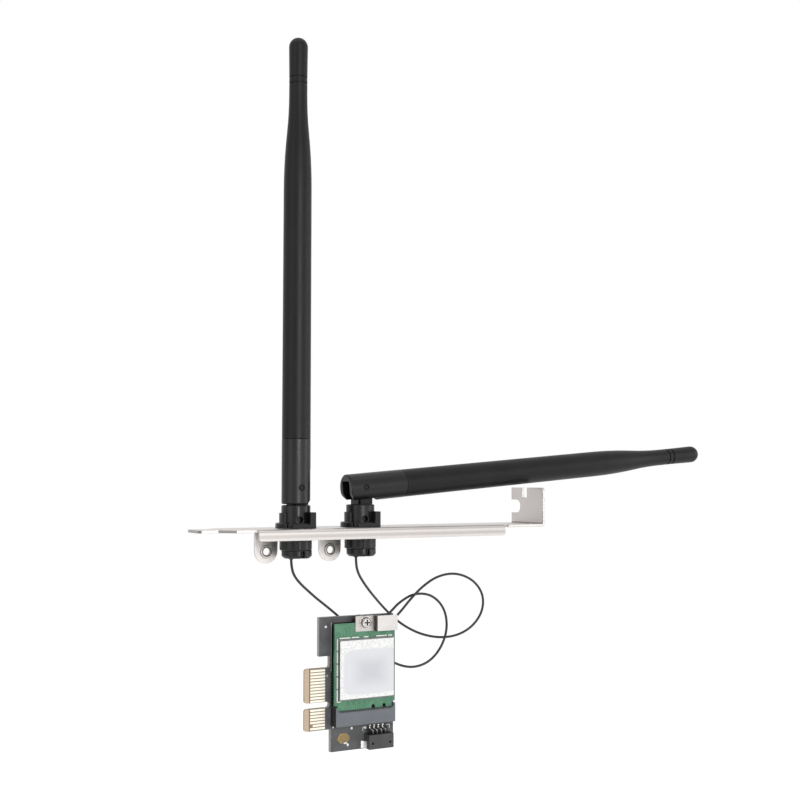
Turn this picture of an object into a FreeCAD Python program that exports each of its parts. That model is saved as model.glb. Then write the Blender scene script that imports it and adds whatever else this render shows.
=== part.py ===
import FreeCAD, Part
import math
import os

import Sketcher

# Wireless network card: a slot bracket with two hinged rod antennas, two thin
# coaxial leads, and a small carrier board that holds the radio module.
# Frame: origin on the bracket's outer face, midway between the antennas.
# +X runs to the bracket's screw tab, +Y to the back, +Z out along the antennas.
# Millimetres and degrees throughout.

Vector = FreeCAD.Vector
doc = FreeCAD.newDocument("WirelessCard")
sheet = doc.addObject("Spreadsheet::Sheet", "Sizes")

sizeTable = {
    # bracket
    "sheetThickness": 0.86, "bracketLength": 120.02, "bracketWidth": 18.42,
    "tabFace": 75.9, "tabHeight": 12.05, "tabRound": 1.0, "bendRadius": 1.3,
    "tongueWidth": 10.19, "tongueLength": 6.1,
    "flangeSetback": 17.3, "flangeFromTab": 15.9, "flangeDrop": 3.45,
    "reliefWidth": 1.4, "reliefDepth": 1.7,
    "notchWidth": 4.42, "notchDepth": 5.3, "notchHeight": 5.65,
    "slitWidth": 2.7, "slitDepth": 3.4, "slitOffset": 1.3,
    "earWidth": 7.6, "earDrop": 11.15, "earHoleDrop": 7.5,
    "earThread": 1.25, "earBoss": 1.95, "earBossHeight": 0.5,
    "leftEar": -17.3, "rightEar": 4.6,
    # antenna sockets
    "antennaSpacing": 22.2, "collarRadius": 4.48, "collarTop": 6.97,
    "ringRadius": 6.3, "ringHeight": 1.58, "ringSlit": 0.45, "ringSlitAngle": -139,
    "latchStart": -3.7, "latchEnd": 3.95, "latchWidth": 1.3, "latchHeight": 1.25,
    "lugTop": 4.85, "lugStart": 2.17, "padRadius": 5.2, "padFront": -2.2, "padBack": 1.2,
    "sideHole": 1.0, "fitGap": 0.05,
    "spigotRadius": 3.75, "shaftRadius": 3.2, "shaftDepth": 8.6,
    "nutRadius": 4.95, "nutDrop": 6.8, "capRadius": 4.65, "capHeight": 2.4,
    "capBevel": 0.7, "capSlot": 1.3, "leadOffset": 1.5, "capShift": 0.35,
    "leadRadius": 0.405,
    # knuckle and antenna, measured from the hinge axis
    "pivotHeight": 12.35, "pinRadius": 0.75, "pinInset": 0.5, "rightBendAngle": 85.1,
    "sleeveRadius": 4.45, "sleeveEnd": 5.05, "sleeveTop": 14.9, "seamBevel": 0.12,
    "forkGap": 5.0, "forkWall": 2.3, "forkDepth": 5.5,
    "knuckleGap": 0.15, "knuckleRoot": 3.1, "wireGroove": 0.8,
    "antennaLength": 141.3, "radomeRadius": 4.42, "shoulderRadius": 4.36,
    "neckRadius": 2.86, "tipRadius": 2.98, "taperSetback": 48.6, "neckLength": 18.3,
    "taperShare": 0.6, "grooveSetback": 15.2, "groovePitch": 1.95,
    "grooveWidth": 0.55, "grooveDepth": 0.22, "radomeBore": 2.9,
    "radiatorRadius": 1.6, "radiatorSpace": 11.8, "plugDepth": 4.0,
    # carrier board
    "boardFace": 14.0, "boardThickness": 1.6, "boardTop": -29.45, "boardRight": 30.6,
    "cornerLeft": 3.55, "cornerBottom": -41.9,
    "recessLeft": 7.3, "lowerLeft": 7.8, "edgeLeft": -1.4,
    "firstFinger": -46.3, "fingerPitch": 0.96, "fingerWidth": 0.66,
    "edgeMargin": 0.7, "edgeRound": 0.8, "keyWidth": 1.9, "keyStep": 2.85,
    "fingerStart": 0.5, "fingerEnd": 5.7, "shortFinger": 0.9, "padThickness": 0.06,
    "edgeBevel": 0.45, "viaRadius": 0.5, "viaX": 5.95, "viaZ": -32.55,
    "groundPadX": 12.4, "groundPadDrop": 4.5, "groundPadWidth": 4.4, "groundPadHeight": 3.2,
    "chipPartShift": 0.4, "chipPartDrop": 1.45, "chipPartLength": 1.2, "chipPartHeight": 0.5,
    # module and its socket
    "moduleWidth": 22.0, "moduleLength": 30.0, "moduleLeft": 7.5, "moduleTop": -31.45,
    "moduleLift": 2.4, "moduleThickness": 0.8, "tongueEdge": 19.85, "tongueDepth": 4.0,
    "keyNotch": 1.2, "keyNotchDepth": 3.5, "keyNotchOne": 3.0, "keyNotchTwo": 7.0,
    "socketWidth": 21.5, "socketGrip": 2.3, "socketDepth": 4.9, "socketHeight": 4.0,
    "socketArm": 0.62, "socketArmReach": 1.2, "slotGap": 0.05,
    "contactPitch": 0.5, "tailLength": 0.7, "tailWidth": 0.24,
    "shieldWidth": 19.9, "shieldShift": 0.3, "shieldMargin": 10.55, "shieldDrop": 5.0,
    "shieldHeight": 0.7, "shieldWall": 0.5, "lidThickness": 0.25, "lidInset": 0.2,
    "labelWidth": 19.5, "labelMargin": 0.45, "labelThickness": 0.1,
    "chipSize": 8.0, "chipHeight": 0.55,
    # clip, screw and standoff
    "clipLeft": 14.9, "clipStep": 22.2, "clipRight": 29.3, "clipTop": -29.35,
    "clipWidth": 4.95, "clipThickness": 0.3, "clipRise": 2.0,
    "screwRadius": 0.95, "headRadius": 1.6, "headHeight": 0.95, "washerRadius": 2.05,
    "washerHeight": 0.35, "crossWidth": 0.45, "crossLength": 1.9, "crossDepth": 0.5,
    "standoffRadius": 1.9, "screwReach": 2.6,
    # aerial jacks and plugs
    "jackOneX": 23.6, "jackOneZ": -31.95, "jackTwoX": 27.2, "jackTwoZ": -32.15,
    "jackSize": 2.0, "jackBase": 0.35, "jackPost": 0.7, "jackRise": 0.5,
    "plugRadius": 1.05, "plugHeight": 1.0, "plugReach": 2.0, "barrelRadius": 0.43,
    # wafer header
    "headerLeft": 19.85, "headerWidth": 8.9, "headerGap": 3.65, "headerInset": 0.2,
    "headerLength": 4.6, "headerHeight": 3.8, "headerWall": 0.6, "pinPitch": 1.55, "pinWidth": 0.5,
    "nailWidth": 1.2, "nailLength": 2.2, "nailHeight": 0.3,
}


class Size:
    """A number together with the spreadsheet expression that gives it."""

    def __init__(self, value, text):
        self.value = value
        self.text = text

    def join(self, other, sign, value, swap=False):
        a, b = (text_of(other), self.text) if swap else (self.text, text_of(other))
        return Size(value, f"({a} {sign} {b})")

    def __add__(self, other):
        return self.join(other, "+", self.value + value_of(other))

    def __radd__(self, other):
        return self.join(other, "+", value_of(other) + self.value, True)

    def __sub__(self, other):
        return self.join(other, "-", self.value - value_of(other))

    def __rsub__(self, other):
        return self.join(other, "-", value_of(other) - self.value, True)

    def __mul__(self, other):
        return self.join(other, "*", self.value * value_of(other))

    def __rmul__(self, other):
        return self.join(other, "*", value_of(other) * self.value, True)

    def __truediv__(self, other):
        return self.join(other, "/", self.value / value_of(other))

    def __neg__(self):
        return Size(-self.value, f"(0 - {self.text})")


def value_of(size):
    return size.value if isinstance(size, Size) else float(size)


def text_of(size):
    return size.text if isinstance(size, Size) else repr(float(size))


class Sheet:
    """Gives each named size of the spreadsheet as an attribute."""


size = Sheet()
for row, (alias, number) in enumerate(sizeTable.items(), start=1):
    sheet.set(f"A{row}", alias)
    sheet.set(f"B{row}", str(number))
    sheet.setAlias(f"B{row}", alias)
    setattr(size, alias, Size(float(number), f"Sizes.{alias}"))
doc.recompute()

# lengths and places that follow from the named ones
size.tongueTip = size.tabFace - size.bracketLength
size.flangeStart = size.tongueTip + size.flangeSetback
size.flangeEnd = size.tabFace - size.flangeFromTab
size.taperStart = size.antennaLength - size.taperSetback
size.taperEnd = size.antennaLength - size.neckLength
size.grooveStart = size.antennaLength - size.grooveSetback
size.radiatorBase = size.sleeveTop + size.plugDepth
size.radiatorLength = size.taperStart - size.radiatorSpace - size.radiatorBase
size.capBottom = -size.nutDrop - size.capHeight
size.moduleBottom = size.moduleTop - size.moduleLength
size.socketTop = size.moduleBottom + size.socketGrip
size.socketBottom = size.socketTop - size.socketDepth
size.headerTop = size.socketBottom - size.headerGap
size.boardBottom = size.headerTop - size.headerLength - size.headerInset
size.groundPadZ = size.socketBottom - size.groundPadDrop
size.shieldTop = size.moduleTop - size.shieldDrop
size.shieldLength = size.moduleLength - size.shieldMargin
size.labelLength = size.shieldLength - 2 * size.labelMargin

subparts = {}


def bind(obj, path, amount):
    obj.setExpression(path, text_of(amount))


def place(obj, x=0, y=0, z=0, axis=None, angle=0):
    turn = FreeCAD.Rotation(axis or Vector(0, 0, 1), value_of(angle))
    obj.Placement = FreeCAD.Placement(Vector(value_of(x), value_of(y), value_of(z)), turn)
    for letter, amount in (("x", x), ("y", y), ("z", z)):
        bind(obj, f".Placement.Base.{letter}", amount)
    if isinstance(angle, Size):
        bind(obj, ".Placement.Rotation.Angle", angle)
    return obj


def box(name, x, y, z):
    """A box between pairs of limits on each axis."""
    solid = doc.addObject("Part::Box", name)
    for side, (low, high) in (("Length", x), ("Width", y), ("Height", z)):
        bind(solid, side, high - low)
    return place(solid, x[0], y[0], z[0])


def cylinder(name, radius, start, end, at=(0, 0), along="z"):
    """A cylinder between two limits along an axis; at holds the other two coordinates."""
    solid = doc.addObject("Part::Cylinder", name)
    bind(solid, "Radius", radius)
    bind(solid, "Height", end - start)
    if along == "z":
        return place(solid, at[0], at[1], start)
    if along == "y":
        return place(solid, at[0], start, at[1], Vector(1, 0, 0), -90)
    return place(solid, start, at[0], at[1], Vector(0, 1, 0), 90)


def fuse(name, *solids):
    joined = doc.addObject("Part::MultiFuse", name)
    joined.Shapes = list(solids)
    joined.Refine = True
    return joined


def cut(name, base, *tools):
    tool = tools[0] if len(tools) == 1 else fuse(name + "_tools", *tools)
    result = doc.addObject("Part::Cut", name)
    result.Base = base
    result.Tool = tool
    return result


def arc_between(start, end, radius, turn):
    """The arc from start to end that bends left (turn 1) or right (turn -1)."""
    half = (end - start).Length / 2
    normal = Vector(-(end - start).y, (end - start).x, 0).normalize()
    centre = (start + end) / 2 + normal * turn * math.sqrt(max(radius ** 2 - half ** 2, 0))
    first, last = (start, end) if turn > 0 else (end, start)
    angles = [math.atan2(p.y - centre.y, p.x - centre.x) for p in (first, last)]
    if angles[1] <= angles[0]:
        angles[1] += 2 * math.pi
    return Part.ArcOfCircle(Part.Circle(centre, Vector(0, 0, 1), radius), *angles)


def outline(name, points, plane="XY", offset=0):
    """A closed sketch. A point (x, y) starts a line, (x, y, radius, turn) an arc."""
    sketch = doc.addObject("Sketcher::SketchObject", name)
    if plane == "XY":
        place(sketch, z=offset)
    elif plane == "XZ":
        place(sketch, y=offset, axis=Vector(1, 0, 0), angle=90)
    else:
        place(sketch, x=offset, axis=Vector(1, 1, 1), angle=120)
    corners = [Vector(value_of(p[0]), value_of(p[1]), 0) for p in points]
    ends = []
    for index, point in enumerate(points):
        start, end = corners[index], corners[(index + 1) % len(points)]
        if len(point) == 2:
            sketch.addGeometry(Part.LineSegment(start, end))
            ends.append((1, 2))
        else:
            sketch.addGeometry(arc_between(start, end, value_of(point[2]), point[3]))
            ends.append((1, 2) if point[3] > 0 else (2, 1))
    for index, point in enumerate(points):
        for kind, amount in (("DistanceX", point[0]), ("DistanceY", point[1])):
            rule = Sketcher.Constraint(kind, -1, 1, index, ends[index][0], value_of(amount))
            number = sketch.addConstraint(rule)
            if isinstance(amount, Size):
                bind(sketch, f"Constraints[{number}]", amount)
        sketch.addConstraint(Sketcher.Constraint(
            "Coincident", index - 1 if index else len(points) - 1, ends[index - 1][1],
            index, ends[index][0]))
        if len(point) == 4:
            chord = corners[(index + 1) % len(points)] - corners[index]
            if chord.Length < 1.999 * value_of(point[2]):
                number = sketch.addConstraint(Sketcher.Constraint("Radius", index, value_of(point[2])))
                bind(sketch, f"Constraints[{number}]", point[2])
                continue
            # a half circle is held by its centre, level with its start
            level = abs(chord.y) < abs(chord.x)
            kind, amount = ("DistanceY", point[1]) if level else ("DistanceX", point[0])
            number = sketch.addConstraint(
                Sketcher.Constraint(kind, -1, 1, index, 3, value_of(amount)))
            if isinstance(amount, Size):
                bind(sketch, f"Constraints[{number}]", amount)
    return sketch


def extrude(name, sketch, length, direction):
    solid = doc.addObject("Part::Extrusion", name)
    solid.Base = sketch
    solid.DirMode = "Custom"
    solid.Dir = direction
    solid.Solid = True
    bind(solid, "LengthFwd", length)
    return solid


def revolve(name, points):
    """Turns an outline of (radius, height) points about Z."""
    solid = doc.addObject("Part::Revolution", name)
    solid.Source = outline(name + "_outline", points, "XZ")
    solid.Axis = Vector(0, 0, 1)
    solid.Angle = 360
    solid.Solid = True
    return solid


def dress(kind, name, base, radius, wanted):
    """Fillets or chamfers the edges of base for which wanted(edge) is true."""
    doc.recompute()
    feature = doc.addObject(f"Part::{kind}", name)
    feature.Base = base
    amount = value_of(radius)
    feature.Edges = [(number, amount, amount)
                     for number, edge in enumerate(base.Shape.Edges, start=1) if wanted(edge)]
    return feature


def runs_along(edge, direction):
    """True for a straight edge parallel to a direction."""
    if not isinstance(edge.Curve, Part.Line):
        return False
    return abs(abs(edge.Curve.Direction.dot(direction)) - 1) < 1e-6


def group(name, shapes):
    """Several separate solids of one kind, kept in one object."""
    feature = doc.addObject("Part::Feature", name)
    feature.Shape = Part.makeCompound(shapes)
    return feature


def block(x, y, z):
    """A plain box shape between pairs of limits, for groups of repeated solids."""
    lows = [value_of(pair[0]) for pair in (x, y, z)]
    sides = [value_of(pair[1]) - low for pair, low in zip((x, y, z), lows)]
    return Part.makeBox(*sides, Vector(*lows))


def register(label, obj):
    obj.Label = label
    subparts[label] = obj
    return obj


def make_bracket():
    thick = size.sheetThickness
    half = size.bracketWidth / 2
    tip = size.tongueTip
    neck = size.tongueWidth / 2
    shoulder = tip + size.tongueLength
    wide = shoulder + half - neck
    inset = size.reliefDepth - half
    plate = outline("plate_outline", [
        (tip, -neck + 1), (tip + 1, -neck), (shoulder, -neck), (wide, -half),
        (size.flangeStart - size.reliefWidth, -half), (size.flangeStart - size.reliefWidth, inset),
        (size.flangeStart, inset), (size.flangeStart, -half), (size.flangeEnd, -half),
        (size.flangeEnd, inset), (size.flangeEnd + size.reliefWidth, inset),
        (size.flangeEnd + size.reliefWidth, -half), (size.tabFace, -half), (size.tabFace, half),
        (wide, half), (shoulder, neck), (tip + 1, neck), (tip, neck - 1)])
    plate = extrude("plate", plate, thick, Vector(0, 0, -1))
    # the screw tab, with its open notch and the slit from its upper edge
    low = size.notchHeight - size.notchWidth / 2
    high = size.notchHeight + size.notchWidth / 2
    inner = half - size.notchDepth + size.notchWidth / 2
    slit_near = size.slitOffset - size.slitWidth / 2
    slit_far = size.slitOffset + size.slitWidth / 2
    slit_end = size.tabHeight - size.slitDepth
    tab = outline("tab_outline", [
        (-half, -thick), (half, -thick), (half, low), (inner, low, size.notchWidth / 2, -1),
        (inner, high), (half, high), (half, size.tabHeight), (slit_far, size.tabHeight),
        (slit_far, slit_end), (slit_near, slit_end), (slit_near, size.tabHeight),
        (size.tabRound - half, size.tabHeight, size.tabRound, 1),
        (-half, size.tabHeight - size.tabRound)], "YZ", size.tabFace - thick)
    tab = extrude("tab", tab, thick, Vector(1, 0, 0))
    flange = box("flange", (size.flangeStart, size.flangeEnd), (-half, thick - half),
                 (-size.flangeDrop, -thick / 2))
    ears = []
    for side, centre in (("left", size.leftEar), ("right", size.rightEar)):
        turn = size.earDrop - size.earWidth / 2
        ear = outline(f"{side}_ear_outline", [
            (centre - size.earWidth / 2, -thick / 2),
            (centre - size.earWidth / 2, -turn, size.earWidth / 2, 1),
            (centre + size.earWidth / 2, -turn), (centre + size.earWidth / 2, -thick / 2)],
            "XZ", half)
        ears.append(extrude(f"{side}_ear", ear, thick, Vector(0, -1, 0)))
        ears.append(cylinder(f"{side}_boss", size.earBoss, half - thick - size.earBossHeight,
                             half - thick / 2, (centre, -size.earHoleDrop), "y"))
    folded = fuse("folded_sheet", plate, tab, flange, *ears)

    def outer_bend(edge):
        middle = edge.CenterOfMass
        front = runs_along(edge, Vector(1, 0, 0)) and abs(middle.z) < 1e-4 \
            and abs(middle.y + value_of(half)) < 1e-4 \
            and abs(edge.Length - value_of(size.flangeEnd - size.flangeStart)) < 1e-3
        end = runs_along(edge, Vector(0, 1, 0)) and abs(middle.z + value_of(thick)) < 1e-4 \
            and abs(middle.x - value_of(size.tabFace)) < 1e-4
        return front or end

    bent = dress("Fillet", "bent_sheet", folded, size.bendRadius, outer_bend)

    def lower_corner(edge):
        middle = edge.CenterOfMass
        return runs_along(edge, Vector(0, 1, 0)) \
            and abs(middle.z + value_of(size.flangeDrop)) < 1e-4

    rounded = dress("Fillet", "rounded_sheet", bent, size.sheetThickness, lower_corner)
    holes = []
    for side, centre in (("left", size.leftEar), ("right", size.rightEar)):
        holes.append(cylinder(f"{side}_thread", size.earThread,
                              half - thick - size.earBossHeight - 1, half + 1,
                              (centre, -size.earHoleDrop), "y"))
    for side, sign in (("left", -1), ("right", 1)):
        holes.append(cylinder(f"{side}_aerial_hole", size.spigotRadius + size.fitGap,
                              -thick - 1, 1, (size.antennaSpacing * (sign / 2), 0)))
    register("bracket", cut("bracket", rounded, *holes))


def make_socket(side, centre):
    """The fixed parts of one aerial: socket, locking ring, nut and lead cap."""
    spigot_end = -size.nutDrop
    shaft_end = size.collarTop - size.shaftDepth
    bore = size.shaftRadius + size.fitGap
    shell = revolve(f"{side}_shell", [
        (0, spigot_end), (size.spigotRadius, spigot_end), (size.spigotRadius, 0),
        (size.collarRadius, 0), (size.collarRadius, size.collarTop - 0.25),
        (size.collarRadius - 0.25, size.collarTop), (bore, size.collarTop),
        (bore, shaft_end), (0, shaft_end)])
    hole = cylinder(f"{side}_side_hole", size.sideHole, -size.collarRadius - 1,
                    0.6 - bore, (-0.5, size.ringHeight + 0.9), "y")
    socket = cut(f"{side}_socket_cut", shell, hole)
    register(f"{side}_socket", place(socket, centre))

    ring = revolve(f"{side}_ring_disc", [
        (size.collarRadius + size.fitGap, 0), (size.ringRadius, 0),
        (size.ringRadius, size.ringHeight - 0.3), (size.ringRadius - 0.3, size.ringHeight),
        (size.collarRadius + size.fitGap, size.ringHeight)])
    # a thin pad against the collar on one side, a latch bar with a tall lug on the other
    blank = cylinder(f"{side}_pad_disc", size.padRadius, 0, size.lugTop - 0.2)
    bar = box(f"{side}_pad_bar", (-size.padRadius - 1, 0), (size.padFront, size.padBack),
              (0, size.lugTop))
    pad = doc.addObject("Part::Common", f"{side}_pad")
    pad.Base = blank
    pad.Tool = bar
    front = -size.ringRadius
    latch = box(f"{side}_latch_bar", (size.latchStart, size.latchEnd),
                (front, front + size.latchWidth), (0, size.latchHeight))
    lug = box(f"{side}_lug", (size.lugStart, size.latchEnd), (front, -size.lugStart),
              (0, size.lugTop))
    whole = fuse(f"{side}_ring_blank", ring, pad, latch, lug)
    inside = cylinder(f"{side}_ring_bore", size.collarRadius + size.fitGap, -1, size.lugTop + 1)
    slit = box(f"{side}_ring_slit", (0, size.ringRadius + 1), (0, size.ringSlit),
               (0, size.ringHeight + 2))
    slit = place(slit, 0, 0, -1, angle=size.ringSlitAngle)
    lock = cut(f"{side}_lock_ring_cut", whole, inside, slit)
    register(f"{side}_lock_ring", place(lock, centre))

    nut = revolve(f"{side}_nut_body", [
        (size.spigotRadius + size.fitGap, -size.nutDrop), (size.nutRadius - 0.3, -size.nutDrop),
        (size.nutRadius, -size.nutDrop + 0.3), (size.nutRadius, -size.sheetThickness),
        (size.spigotRadius + size.fitGap, -size.sheetThickness)])
    flats = []
    for index in range(6):
        turn = 60 * index + 12
        groove = cylinder(f"{side}_nut_groove_{index}", 0.35, -size.nutDrop - 1,
                          -size.sheetThickness - 1.2)
        angle = math.radians(turn)
        flats.append(place(groove, size.nutRadius * math.cos(angle),
                           size.nutRadius * math.sin(angle), -size.nutDrop - 1))
    nut = cut(f"{side}_nut_cut", nut, *flats)
    register(f"{side}_nut", place(nut, centre))

    base = size.capBottom
    cap = revolve(f"{side}_cap_body", [
        (0, base), (size.capRadius - size.capBevel, base),
        (size.capRadius, base + size.capBevel), (size.capRadius, -size.nutDrop),
        (0, -size.nutDrop)])
    slot = box(f"{side}_cap_slot", (-size.capSlot / 2, size.capSlot / 2),
               (-size.capRadius - 1, 1.4 - size.capRadius), (base - 1, -size.nutDrop - 0.2))
    cap = cut(f"{side}_cap_cut", cap, slot)
    register(f"{side}_lead_cap", place(cap, centre + size.capShift))


def make_antenna(side, centre, pose):
    """The turning knuckle and the tilting rod; pose places what is drawn about the hinge."""
    floor = size.collarTop - size.shaftDepth - size.pivotHeight
    neck = size.collarTop + size.fitGap - size.pivotHeight
    reach_down = -neck - size.fitGap
    half = size.forkGap / 2 - size.knuckleGap
    eye = size.forkWall - size.knuckleGap
    shaft = revolve(f"{side}_shaft", [
        (0, floor), (size.shaftRadius - 0.3, floor), (size.shaftRadius, floor + 0.3),
        (size.shaftRadius, neck), (0, neck)])
    tongue = outline(f"{side}_tongue_outline", [
        (-eye, neck), (size.knuckleRoot, neck), (size.knuckleRoot, -eye - 0.9),
        (eye, -eye), (eye, 0, eye, 1), (-eye, 0)], "XZ", half)
    tongue = extrude(f"{side}_tongue", tongue, half * 2, Vector(0, -1, 0))
    groove = box(f"{side}_wire_groove", (-eye / 2 - size.wireGroove, -eye / 2),
                 (-half - 1, 1 - half), (neck, -eye))
    eyelet = cylinder(f"{side}_eyelet", size.pinRadius + size.fitGap, -half - 1, half + 1,
                      (0, 0), "y")
    knuckle = cut(f"{side}_knuckle_cut", fuse(f"{side}_knuckle_blank", shaft, tongue),
                  groove, eyelet)
    register(f"{side}_knuckle", pose(knuckle, False))

    reach = size.sleeveRadius - size.pinInset
    rod = cylinder(f"{side}_pin_rod", size.pinRadius, -reach, reach, (0, 0), "y")
    crown = cylinder(f"{side}_pin_crown", size.pinRadius - 0.2, -reach - 0.15, reach + 0.15,
                     (0, 0), "y")
    register(f"{side}_hinge_pin", pose(fuse(f"{side}_pin_body", rod, crown), True))

    plug = size.radomeBore - size.fitGap
    tube = revolve(f"{side}_sleeve_tube", [
        (0, -size.sleeveEnd), (size.sleeveRadius - 0.3, -size.sleeveEnd),
        (size.sleeveRadius, 0.3 - size.sleeveEnd),
        (size.sleeveRadius, size.sleeveTop - size.seamBevel),
        (size.sleeveRadius - size.seamBevel, size.sleeveTop),
        (plug, size.sleeveTop), (plug, size.radiatorBase), (0, size.radiatorBase)])
    fork = box(f"{side}_fork", (-size.forkWall, size.sleeveRadius + 1),
               (-size.forkGap / 2, size.forkGap / 2), (-size.sleeveEnd - 1, size.forkDepth))
    corner = box(f"{side}_corner", (0, size.sleeveRadius + 1),
                 (-size.sleeveRadius - 1, size.sleeveRadius + 1), (-size.sleeveEnd - 1, 0))
    swing = cylinder(f"{side}_swing", reach_down, -size.sleeveRadius - 2,
                     size.sleeveRadius + 2, (0, 0), "y")
    trim = cut(f"{side}_trim", corner, swing)
    pin_hole = cylinder(f"{side}_pin_hole", size.pinRadius, -size.sleeveRadius - 1,
                        size.sleeveRadius + 1, (0, 0), "y")
    seats = [cylinder(f"{side}_dimple_{index}", size.pinRadius + 0.2, start, start + 2,
                      (0, 0), "y")
             for index, start in enumerate((-reach - 2, reach))]
    channel = cylinder(f"{side}_wire_channel", 0.7, 0, size.radiatorBase + 1)
    sleeve = cut(f"{side}_sleeve_cut", tube, fork, trim, pin_hole, channel, *seats)
    register(f"{side}_sleeve", pose(sleeve, True))

    drop = size.shoulderRadius - size.neckRadius
    run = size.taperEnd - size.taperStart
    bend = size.taperShare
    knee_radius = size.shoulderRadius - drop * bend
    knee = size.taperStart + run * bend
    rest = 1 - bend
    lower_arc = ((run * bend) * (run * bend) + (drop * bend) * (drop * bend)) / (2 * (drop * bend))
    upper_arc = ((run * rest) * (run * rest) + (drop * rest) * (drop * rest)) / (2 * (drop * rest))
    groove_two = size.grooveStart + size.groovePitch
    ring = size.neckRadius - size.grooveDepth
    radome = revolve(f"{side}_radome_body", [
        (size.radomeBore, size.sleeveTop), (size.radomeRadius - size.seamBevel, size.sleeveTop),
        (size.radomeRadius, size.sleeveTop + size.seamBevel),
        (size.shoulderRadius, size.taperStart, lower_arc, 1),
        (knee_radius, knee, upper_arc, -1), (size.neckRadius, size.taperEnd),
        (size.neckRadius, size.grooveStart), (ring, size.grooveStart),
        (ring, size.grooveStart + size.grooveWidth),
        (size.neckRadius, size.grooveStart + size.grooveWidth), (size.neckRadius, groove_two),
        (ring, groove_two), (ring, groove_two + size.grooveWidth),
        (size.neckRadius, groove_two + size.grooveWidth),
        (size.tipRadius, size.antennaLength - size.tipRadius, size.tipRadius, 1),
        (0, size.antennaLength), (0, size.taperStart), (size.radomeBore, size.taperStart)])
    register(f"{side}_radome", pose(radome, True))

    seat = size.radiatorBase
    radiator = revolve(f"{side}_radiator_body", [
        (0.7, seat), (size.radiatorRadius, seat), (size.radiatorRadius, seat + 22),
        (0.5, seat + 22), (0.5, seat + size.radiatorLength - 4),
        (0.9, seat + size.radiatorLength - 4), (0.9, seat + size.radiatorLength),
        (0, seat + size.radiatorLength), (0, seat + 1), (0.7, seat + 1)])
    register(f"{side}_radiator", pose(radiator, True))


def make_board():
    face = size.boardFace
    back = face + size.boardThickness
    top = size.firstFinger + size.edgeMargin
    upper_end = size.firstFinger - 10 * size.fingerPitch
    key_middle = upper_end - size.keyStep / 2
    key_high = key_middle + size.keyWidth / 2
    key_low = key_middle - size.keyWidth / 2
    bottom = upper_end - size.keyStep - 6 * size.fingerPitch - size.edgeMargin
    round_x = size.recessLeft - size.keyWidth / 2
    nose = size.edgeRound
    edge = outline("board_outline", [
        (size.cornerLeft, size.boardTop), (size.cornerLeft, size.cornerBottom),
        (size.recessLeft, size.cornerBottom), (size.recessLeft, top + nose, nose, -1),
        (size.recessLeft - nose, top),
        (size.edgeLeft + nose, top, nose, 1), (size.edgeLeft, top - nose),
        (size.edgeLeft, key_high + nose, nose, 1), (size.edgeLeft + nose, key_high),
        (round_x, key_high, size.keyWidth / 2, -1), (round_x, key_low),
        (size.edgeLeft + nose, key_low, nose, 1), (size.edgeLeft, key_low - nose),
        (size.edgeLeft, bottom + nose, nose, 1), (size.edgeLeft + nose, bottom),
        (size.lowerLeft, bottom), (size.lowerLeft, size.boardBottom),
        (size.boardRight, size.boardBottom), (size.boardRight, size.boardTop)], "XZ", back)
    slab = extrude("board_slab", edge, size.boardThickness, Vector(0, -1, 0))
    via = cylinder("board_via", size.viaRadius, face - 1, back + 1, (size.viaX, size.viaZ), "y")
    # the insertion edge is bevelled on both faces
    bevels = []
    for name, skin, sign in (("front", face, 1), ("rear", back, -1)):
        wedge = outline(f"{name}_bevel_outline", [
            (size.edgeLeft - 0.1, skin - sign * 0.1), (size.edgeLeft - 0.1, skin + sign * size.edgeBevel),
            (size.fingerStart, skin - sign * 0.1)], "XY", bottom - 1)
        bevels.append(extrude(f"{name}_bevel", wedge, top - bottom + 2, Vector(0, 0, 1)))
    register("carrier_board", cut("board_cut", slab, via, *bevels))

    fingers = []
    for index in range(18):
        step = index * size.fingerPitch
        if index > 10:
            step = step + size.keyStep - size.fingerPitch
        height = size.firstFinger - step
        span = (height - size.fingerWidth / 2, height + size.fingerWidth / 2)
        start = size.fingerStart + (size.shortFinger if index == 16 else 0)
        fingers.append(block((start, size.fingerEnd), (face - size.padThickness, face), span))
        fingers.append(block((start, size.fingerEnd), (back, back + size.padThickness), span))
    register("edge_fingers", group("edge_fingers", fingers))

    bevel = 1.15
    wide, tall = size.groundPadWidth / 2, size.groundPadHeight / 2
    x, z = size.groundPadX, size.groundPadZ
    pad = outline("ground_pad_outline", [
        (x - wide, z - tall + bevel), (x - wide + bevel, z - tall), (x + wide - bevel, z - tall),
        (x + wide, z - tall + bevel), (x + wide, z + tall - bevel), (x + wide - bevel, z + tall),
        (x - wide + bevel, z + tall), (x - wide, z + tall - bevel)], "XZ", face)
    register("ground_pad", extrude("ground_pad", pad, size.padThickness, Vector(0, -1, 0)))

    # a small chip part across the pad's lower edge, its body between two metal ends
    middle, low = x + size.chipPartShift, z - size.chipPartDrop
    part = []
    for start, end, grow in ((-0.5, -0.28, 0.02), (-0.28, 0.28, 0), (0.28, 0.5, 0.02)):
        part.append(block((middle + start * size.chipPartLength, middle + end * size.chipPartLength),
                          (face - size.padThickness - size.chipPartHeight - grow, face - size.padThickness),
                          (low - size.chipPartHeight / 2 - grow, low + size.chipPartHeight / 2 + grow)))
    register("board_passives", group("board_passives", part))


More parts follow.
